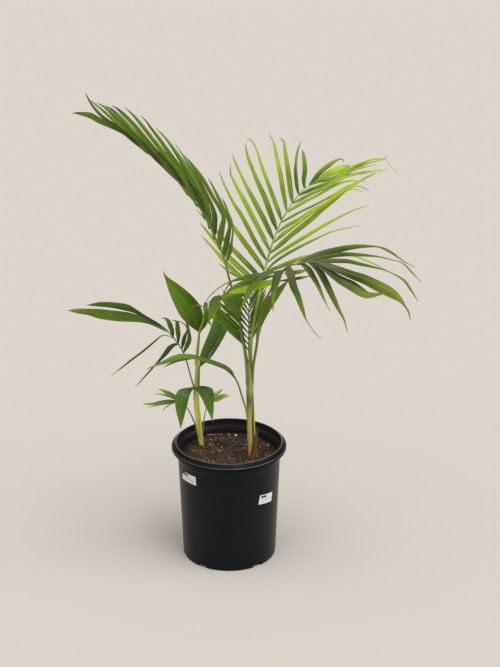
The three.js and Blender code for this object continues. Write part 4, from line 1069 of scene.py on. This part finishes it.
# ---- The soil -----------------------------------------------------------------------------
WALL_CLEAR = 0.9  # between the soil's top edge and the pot's wall
CRUMBS, GRIT = (560, 1.5, 3.4), (4600, 0.6, 1.8)  # how many, smallest and largest size
FIBRES, FIBRE_SPREAD, FIBRE_REACH = 150, 86, 88


def soil_height(x, y):
    """The soil's top: a slight slope to the back, sunk by the wall, and lumps of two sizes."""
    coarse = noise.noise(Vector((x / 21, y / 21, 3.1)))
    fine = noise.noise(Vector((x / 6, y / 6, 9.7)))
    sunk = min(max((math.hypot(x, y) - 80) / 15, 0.0), 1.0)
    return SOIL_TOP + SOIL_SLOPE * y + 1.9 * coarse + 0.9 * fine - 3.8 * sunk**2 * (3 - 2 * sunk)


def soil_patch(x, y):
    """Damp, darker areas and dry, lighter ones."""
    large = noise.noise(Vector((x / 17, y / 17, 5.5)))
    small = noise.noise(Vector((x / 7, y / 7, 1.9)))
    return 0.32 * large + 0.16 * small


def wall_shade(x, y):
    """How far into the painted shade along the wall a place is, from 0 to 1."""
    return min(max((math.hypot(x, y) - 72) / 16, 0.0), 1.0)


def near_stem(x, y, clear):
    """Whether a place is within a stem's foot, or closer to it than `clear`."""
    feet = (STEM_LARGE[1], STEM_SMALL[1])
    return any(math.hypot(x - foot[0], y - foot[1]) < foot[3] + clear for foot in feet)


def ball_template(subdivisions):
    """The points and faces of a ball of radius 1."""
    bm = bmesh.new()
    bmesh.ops.create_icosphere(bm, subdivisions=subdivisions, radius=1.0)
    points = np.array([v.co[:] for v in bm.verts])
    faces = [[v.index for v in f.verts] for f in bm.faces]
    bm.free()
    return points, faces


def clod(builder, x, y, up, size, template, tone, stretch=(1, 1, 1)):
    """One lump: a small ball with its points pushed about, turned at random and squashed."""
    points, faces = template
    turn = np.linalg.qr(np.array([[rng.gauss(0, 1) for _ in range(3)] for _ in range(3)]))[0]
    jitter = np.array([rng.uniform(0.72, 1.18) for _ in points])
    shaped = (points * jitter[:, None] * np.array(stretch) * size) @ turn
    shaped[:, 2] *= 0.8
    builder.add(shaped + np.array([x, y, soil_height(x, y) + up]), faces, tone=tone)


def sliver(builder, route, radius, tone):
    """A twig or a fibre that lies along the soil."""
    stations = 9
    line = curve_through([(x, y, soil_height(x, y) + 1.2 + radius * 0.6) for x, y in route], stations)
    angle = around(6)
    taper = radius * (1 - 0.55 * np.abs(np.linspace(-1, 1, stations)) ** 3)
    frames = frames_along(line, (0, 0, 1))
    builder.loft(tube_rings(line, taper, np.cos(angle), 0.7 * np.sin(angle), *frames), tone=tone)


def chip(builder, x, y, length, breadth, turn, tone):
    """A flat flake of bark that leans on the soil."""
    rings = []
    for lift, share in ((0, 0.8), (1.2, 1.0), (3.2, 0.9), (4.6, 0.5)):
        ring = []
        for a in around(10):
            dx = length / 2 * share * math.cos(a)
            dy = breadth / 2 * share * math.sin(a) * (1 + 0.2 * math.cos(3 * a))
            px = dx * math.cos(turn) - dy * math.sin(turn)
            py = dx * math.sin(turn) + dy * math.cos(turn)
            ring.append((x + px, y + py, soil_height(x, y) + 0.5 + lift + 0.25 * dx))
        rings.append(ring)
    builder.loft(rings, tone=tone)


def soil_bed(edge):
    """The body of the soil: a closed shell from the pot's floor up, with a lumpy top."""
    under = POT_FLOOR + 0.4
    body = ((1, under), (wall_radius(4) - 4, under), (edge - 2.5, SOIL_TOP - 14))
    shells = [level_ring(radius, z, SOIL_SIDES) for radius, z in body]
    for i in range(SOIL_RINGS):
        radius = mix(edge, 0.6, i / (SOIL_RINGS - 1))
        xy = [polar(radius, angle) for angle in around(SOIL_SIDES)]
        shells.append(np.array([(x, y, soil_height(x, y)) for x, y in xy]))
    # The soil's tone is darkened towards the wall: painted shade.
    patches = [(0.2 + soil_patch(x, y)) * (1 - 0.8 * wall_shade(x, y)) for x, y, _ in np.vstack(shells)]
    bed = Builder()
    bed.loft(shells, tone=np.clip(patches, 0.02, 1))
    return bed


def soil_crumbs(edge, coarse, fine):
    """Loose lumps of two sorts, slivers of bark and root fibre, and a few larger pieces placed one by one."""
    crumbs = Builder()
    for (count, low, high), template in ((CRUMBS, coarse), (GRIT, fine)):
        for _ in range(count):
            size = mix(low, high, rng.random() ** 2.2)
            radius = (edge - size * 0.9) * math.sqrt(rng.random())
            x, y = polar(radius, rng.uniform(0, 2 * math.pi))
            if near_stem(x, y, 0.4 * size):
                continue
            stretch = (1, rng.uniform(0.5, 1), rng.uniform(0.4, 0.9))
            # Crumbs near the wall are darkened: painted shade.
            tone = (rng.random() ** 1.9 * 1.15 + soil_patch(x, y)) * (1 - 0.72 * wall_shade(x, y))
            clod(crumbs, x, y, 0.15 * size, size, template, max(0.0, tone), stretch)
    for _ in range(FIBRES):
        radius = FIBRE_SPREAD * math.sqrt(rng.random())
        x, y = polar(radius, rng.uniform(0, 2 * math.pi))
        heading = rng.uniform(0, math.pi)
        dx, dy = polar(rng.uniform(3, 9), heading)
        route = [(x - dx, y - dy), (x, y), (x + dx, y + dy)]
        if near_stem(x, y, 6) or max(math.hypot(*place) for place in route[::2]) > FIBRE_REACH:
            continue
        sliver(crumbs, route, rng.uniform(0.25, 0.6), rng.uniform(0.5, 1))
    sliver(crumbs, [(-46, 82), (-37, 82), (-25, 78)], 1.2, 1.25)
    sliver(crumbs, [(-30, 76), (-20, 81), (-14, 78)], 0.7, 0.9)
    sliver(crumbs, [(57, 34), (59, 12), (58, -10)], 0.8, 0.1)
    clod(crumbs, -14, 28, 1.2, 2.6, coarse, 1.25, (1, 0.7, 0.6))
    return crumbs


def white_grains(template):
    """Grains of perlite and one pale fibre, where the photograph shows them."""
    white = Builder()
    for x, y, size in (
        (12, 75, 2.7), (-1, 79, 1.7), (33, 37, 1.2), (-53, 20, 0.8), (-44, 24, 0.6), (60, 30, 0.9),
        (-70, 12, 0.9), (6, -44, 1.2), (-30, -30, 0.9), (-52, -52, 1.0), (70, -34, 0.9),
    ):
        clod(white, x, y, size * 0.7, size, template, rng.random())
    sliver(white, [(-51, 74), (-50, 56), (-50, 26)], 0.35, 0.1)
    return white


def bark_chips():
    """The two flakes by the wall on the right."""
    bark = Builder()
    chip(bark, 75, 33, 9.5, 8, 0.9, 0.6)
    chip(bark, 75, 17, 6, 5, 0.3, 0.2)
    return bark


def make_soil():
    """The soil and what lies on it, as four objects."""
    edge = wall_radius(SOIL_TOP) - POT_WALL - WALL_CLEAR
    coarse, fine = ball_template(2), ball_template(1)
    for name, builder, sharp, scale, stops in (
        ("soil_bed", soil_bed(edge), 80, 260, [(0.0, (0.003, 0.0015, 0.001)), (1.0, (0.12, 0.056, 0.029))]),
        ("soil_crumbs", soil_crumbs(edge, coarse, fine), 60, 420, [
            (0.0, (0.005, 0.0025, 0.0016)), (0.45, (0.07, 0.032, 0.017)),
            (0.75, (0.21, 0.102, 0.054)), (1.0, (0.48, 0.27, 0.145)),
        ]),
        ("soil_perlite", white_grains(coarse), 60, 500, [
            (0.0, (0.70, 0.58, 0.45)), (1.0, (0.95, 0.85, 0.72)),
        ]),
        ("soil_bark", bark_chips(), 60, 300, [(0.0, (0.03, 0.009, 0.006)), (1.0, (0.38, 0.13, 0.085))]),
    ):
        dress(builder.make(name, [soil_material(name, stops, scale)], sharp), "soil")


# ---- The stems, the dried sheath and the labels -------------------------------------------
def make_stem(name, rows, material, wraps):
    """A stem of wrapped leaf bases: each wrap's edge climbs round it as a low step."""
    line = curve_through([row[:3] for row in rows], STEM_STATIONS)
    heights, radii = [row[2] for row in rows], [row[3] for row in rows]
    angle = around(STEM_SIDES)
    rings, edges = [], []
    for x, y, z in line:
        radius = np.interp(z, heights, radii) * np.ones(STEM_SIDES)
        edge = np.zeros(STEM_SIDES)
        for start, turn, low, high, step in wraps:
            if low < z < high:
                behind = (angle - (start + turn * (z - low))) % (2 * np.pi)
                radius += step * np.exp(-behind / 1.1) * min(1, (z - low) / 12, (high - z) / 8)
                edge = np.maximum(edge, np.exp(-((behind / 0.21) ** 2)))
        radius += 0.10 * np.sin(angle * 9 + 0.01 * z) + 0.06 * np.sin(angle * 17)
        rings.append(level_ring(radius, z, STEM_SIDES, (x, y)))
        edges.append(edge)
    builder = Builder()
    along = np.repeat(np.linspace(0, 1, STEM_STATIONS), STEM_SIDES)
    builder.loft(rings, along=along, tone=np.concatenate(edges))
    dress(builder.make(f"{name}_surface", [material], 60), name)


def make_sheath():
    """The dried sheath at the foot of the large stem: two pointed husks, one behind the other."""
    builder = Builder()
    u = np.linspace(-1, 1, 21)
    for points, face in ((HUSK_FRONT, (0.25, -1, 0.1)), (HUSK_BACK, (0.5, -1, 0.05))):
        points = np.array(points)
        line = curve_through(points[:, :3], HUSK_STATIONS)
        across, normals = frames_along(line, face)
        half = 0.5 * widths_along(points, HUSK_STATIONS)
        places = []
        for i, t in enumerate(np.linspace(0, 1, HUSK_STATIONS)):
            ripple = 0.25 * np.sin(u * 14 + 3 * t) * (1 - u**2)
            lift = -0.45 * half[i] * u**2 + ripple + 0.5 * np.sin(7 * t) * u
            places.append(line[i] + np.outer(u * half[i], across[i]) + np.outer(lift, normals[i]))
        shell(builder, u, places, normals, half, HUSK_THICKNESS, rng.random(), rib=0, edge=0, under=TOP)
    dress(builder.make("dry_sheath_husk", [sheath_material()]), "dry_sheath")


def make_label(name):
    """A thin sticker wrapped on the pot's wall."""
    angle, middle, tilt, width, height, cut = LABELS[name]
    slope = math.radians(tilt)
    points, across, up = [], [], []
    for lift in LABEL_LIFTS:
        for i in range(LABEL_COLUMNS + 1):
            u = i / LABEL_COLUMNS
            top = 1 - cut / height * max(0.0, 1 - u / 0.32)
            for j in range(LABEL_ROWS + 1):
                v = j / LABEL_ROWS * top
                along, rise = width * (u - 0.5), height * (v - 0.5)
                z = middle + rise * math.cos(slope) + along * math.sin(slope)
                radius = wall_radius(z) + lift
                turn = math.radians(angle) + (along * math.cos(slope) - rise * math.sin(slope)) / radius
                points.append((*polar(radius, turn), z))
                across.append(u)
                up.append(v)

    def at(layer, i, j):
        return (layer * (LABEL_COLUMNS + 1) + i) * (LABEL_ROWS + 1) + j

    faces = []
    for i in range(LABEL_COLUMNS):
        for j in range(LABEL_ROWS):
            faces.append([at(1, i, j), at(1, i + 1, j), at(1, i + 1, j + 1), at(1, i, j + 1)])
            faces.append([at(0, i, j + 1), at(0, i + 1, j + 1), at(0, i + 1, j), at(0, i, j)])
    border = [(i, 0) for i in range(LABEL_COLUMNS)] + [(LABEL_COLUMNS, j) for j in range(LABEL_ROWS)]
    border += [(i, LABEL_ROWS) for i in range(LABEL_COLUMNS, 0, -1)]
    border += [(0, j) for j in range(LABEL_ROWS, 0, -1)]
    for this, other in zip(border, border[1:] + border[:1]):
        faces.append([at(0, *this), at(0, *other), at(1, *other), at(1, *this)])
    builder = Builder()
    builder.add(points, faces, across=across, along=up)
    dress(builder.make(f"{name}_paper", [label_material()], 40), name)


# ---- The studio ---------------------------------------------------------------------------
def make_camera():
    data = bpy.data.cameras.new("view")
    data.sensor_width = SENSOR
    data.lens = SENSOR * FOCAL_PIXELS / FRAME_HEIGHT
    data.clip_end = 100
    camera = link("view", data)
    camera.location = CAMERA_PLACE
    camera.rotation_euler = (math.pi / 2 - CAMERA_PITCH, 0, 0)
    bpy.context.scene.camera = camera


def make_floor():
    bm = bmesh.new()
    bmesh.ops.create_grid(bm, x_segments=2, y_segments=2, size=FLOOR_REACH)
    mesh = bpy.data.meshes.new("floor")
    bm.to_mesh(mesh)
    bm.free()
    look = Shader("studio_floor")
    mesh.materials.append(
        look.set(Base_Color=(0.578, 0.530, 0.486), Roughness=0.95, Specular_IOR_Level=0.0)
    )
    link("floor", mesh)


def sun(name, azimuth, elevation, strength, spread):
    data = bpy.data.lights.new(name, "SUN")
    data.energy, data.angle = strength, math.radians(spread)
    data.color = (0.95, 1.0, 1.04)
    link(name, data).rotation_euler = (0, math.radians(90 - elevation), math.radians(azimuth))


def make_light():
    world = bpy.data.worlds.new("studio")
    world.use_nodes = True
    sky = world.node_tree.nodes["Background"].inputs
    sky["Color"].default_value = (1.1, 1.0, 0.87, 1)
    sky["Strength"].default_value = 0.39
    bpy.context.scene.world = world
    sun("right_light", -14, 37, 1.2, 50)
    sun("left_light", 192, 48, 0.5, 70)
    sun("top_light", -85, 76, 1.12, 60)
    sun("key_light", -60, 62, 0.62, 20)
    view = bpy.context.scene.view_settings
    view.view_transform = "Standard"
    view.look = "None"


# ---- Putting it together ------------------------------------------------------------------
make_camera()
make_floor()
make_light()

GREEN = stalk_material("green_stalk", (0.085, 0.135, 0.018), (0.38, 0.46, 0.08))
PALE = stalk_material("pale_stalk", (0.20, 0.28, 0.025), (0.58, 0.70, 0.13))
OLIVE = stalk_material("olive_stalk", (0.11, 0.135, 0.022), (0.34, 0.40, 0.07))
RUSTY = stalk_material("rusty_stalk", (0.07, 0.115, 0.018), (0.30, 0.40, 0.07), 0.3, (0.21, 0.18, 0.11))

# name, leaf look, stalk look, the stalk's radius at its start and end with its flare, leaflet faces
make_frond(
    "frond_upper_left", "edge_on", OLIVE, (2.5, 1.4, 1.2), [(-0.3, -1, 0.1)], fold=0.5, wide=1.05, swing=0.35,
    tones={0: 0.1, 7: 0.35, 8: 0.8, 9: 0.5, 10: 1, 11: 0.6, 12: 0.85},
)
make_frond(
    "frond_upper_right", "backlit", PALE, (3.5, 0.5, 0.8), [(0.5, -0.85, 0.25), (-0.2, -0.8, 0.6)], (15,),
    fold=0.45, wide=1.12,
    tones={12: -0.2, 13: -0.1, 14: 0.2, 15: 0.7} | {i: 0.4 + 0.09 * (i * 5 % 8) for i in range(16, 29)},
)
make_frond(
    "frond_right", "grey", RUSTY, (2.9, 1.3, 0.3),
    [(0, -0.72, 0.7), (0.1, -0.55, 0.85), (0.3, -1, 0.3), (0, -0.6, 0.8)], (4, 10, 12), fold=0.3,
    tones={0: 0.55, 1: 0.45, 2: 0.6, 3: 0.15, 4: 0.1, 5: 0.1, 10: 1.15, 11: 1.2, 12: 2.2},
)
make_frond(
    "frond_middle", "inner", GREEN, (1.4, 0.8, 0.8), [(0.3, -1, 0.35), (-0.3, -1, 0.35)], (10,),
    fold=0.45, wide=0.95,
)
make_frond("leaf_bent_left", "arched", GREEN, (2.0, 1.6, 0.6), [(0, -0.5, 0.9)], fold=0.2)
make_frond("leaf_folded", "folded", GREEN, (2.2, 1.7, 0.8), [(0, -1, 0.2)], fold=0.2)
make_frond(
    "leaf_small_top", "ribbed", PALE, (3.6, 0.7, 0), [(0, -1, 0.1)], fold=0.2, tones={0: 1},
    crown=(-0.12, -0.15),
)
make_frond("leaf_small_dark", "dark", GREEN, (1.8, 1.5, 0.3), [])
make_frond(
    "frond_small_left", "side", GREEN, (1.7, 1.2, 0.3), [(0.3, -1, 0.2), (-0.3, -0.4, 0.9)], (5,),
    fold=0.3, wide=1.2, tones={0: 0.35, 1: 0.3, 2: 0.5, 3: 0.1, 4: 0.9, 5: -0.45, 6: -0.9},
)
make_frond("leaf_small_front", "hood", GREEN, (1.7, 1.4, 0.3), [], crown=(0.07, 0.07))
make_frond("frond_low_left", "low", GREEN, (1.6, 1.0, 0), [(0, -0.7, 0.7)], fold=0.3)
make_frond(
    "frond_low_right", "low", PALE, (1.6, 1.0, 0), [(0, -0.7, 0.7)], fold=0.3,
    tones={0: 1.4, 1: 1.3, 2: 1.5, 3: 1.35},
)

# each wrap: angle where its edge starts, turn per millimetre up, from height, to height, step
make_stem(
    "stem_large", STEM_LARGE,
    stem_material("large_stem_skin", (0.11, 0.12, 0.025), (0.46, 0.46, 0.12), (0.22, 0.29, 0.04), 0.75),
    [(-1.2, 0.004, 172, 300, 0.7), (0.6, 0.006, 240, 380, 0.9), (3.4, 0.005, 180, 370, 0.8),
     (-2.2, 0.036, 346, 374, 0.6)],
)
make_stem(
    "stem_small", STEM_SMALL,
    stem_material("small_stem_skin", (0.28, 0.28, 0.035), (0.86, 0.80, 0.17), (0.36, 0.44, 0.065), 0.2),
    [(-1.6, 0.004, 172, 300, 0.5), (2.2, 0.005, 230, 385, 0.5)],
)
make_pot([
    pot_material("black_plastic", (0.0030, 0.0040, 0.0058), (0.012, 0.0105, 0.009), 0.28, 0.17),
    pot_material("black_plastic_rim", (0.0050, 0.0052, 0.0054), (0.03, 0.024, 0.018), 0.22, 0.07),
    # A lighter copy of the same black plastic for the inside: painted light, so that the inner wall reads lit
    # down to the soil.
    pot_material("black_plastic_inside_painted_light", (0.015, 0.0155, 0.0165), (0.032, 0.028, 0.024), 0.4, 0.25),
    # A light brownish copy of the plastic on the lip: a painted highlight along the top of the rim.
    pot_material("black_plastic_lip_painted_highlight", (0.10, 0.088, 0.074), (0.20, 0.15, 0.105), 0.3, 0.35),
    # The corner's lighter base is a painted highlight line along the rim's edge; its lower roughness and
    # higher gloss are real.
    pot_material("black_plastic_corner_painted_highlight", (0.035, 0.035, 0.035), (0.09, 0.08, 0.07), 0.16, 0.4),
])
make_soil()
make_sheath()
for label_name in LABELS:
    make_label(label_name)
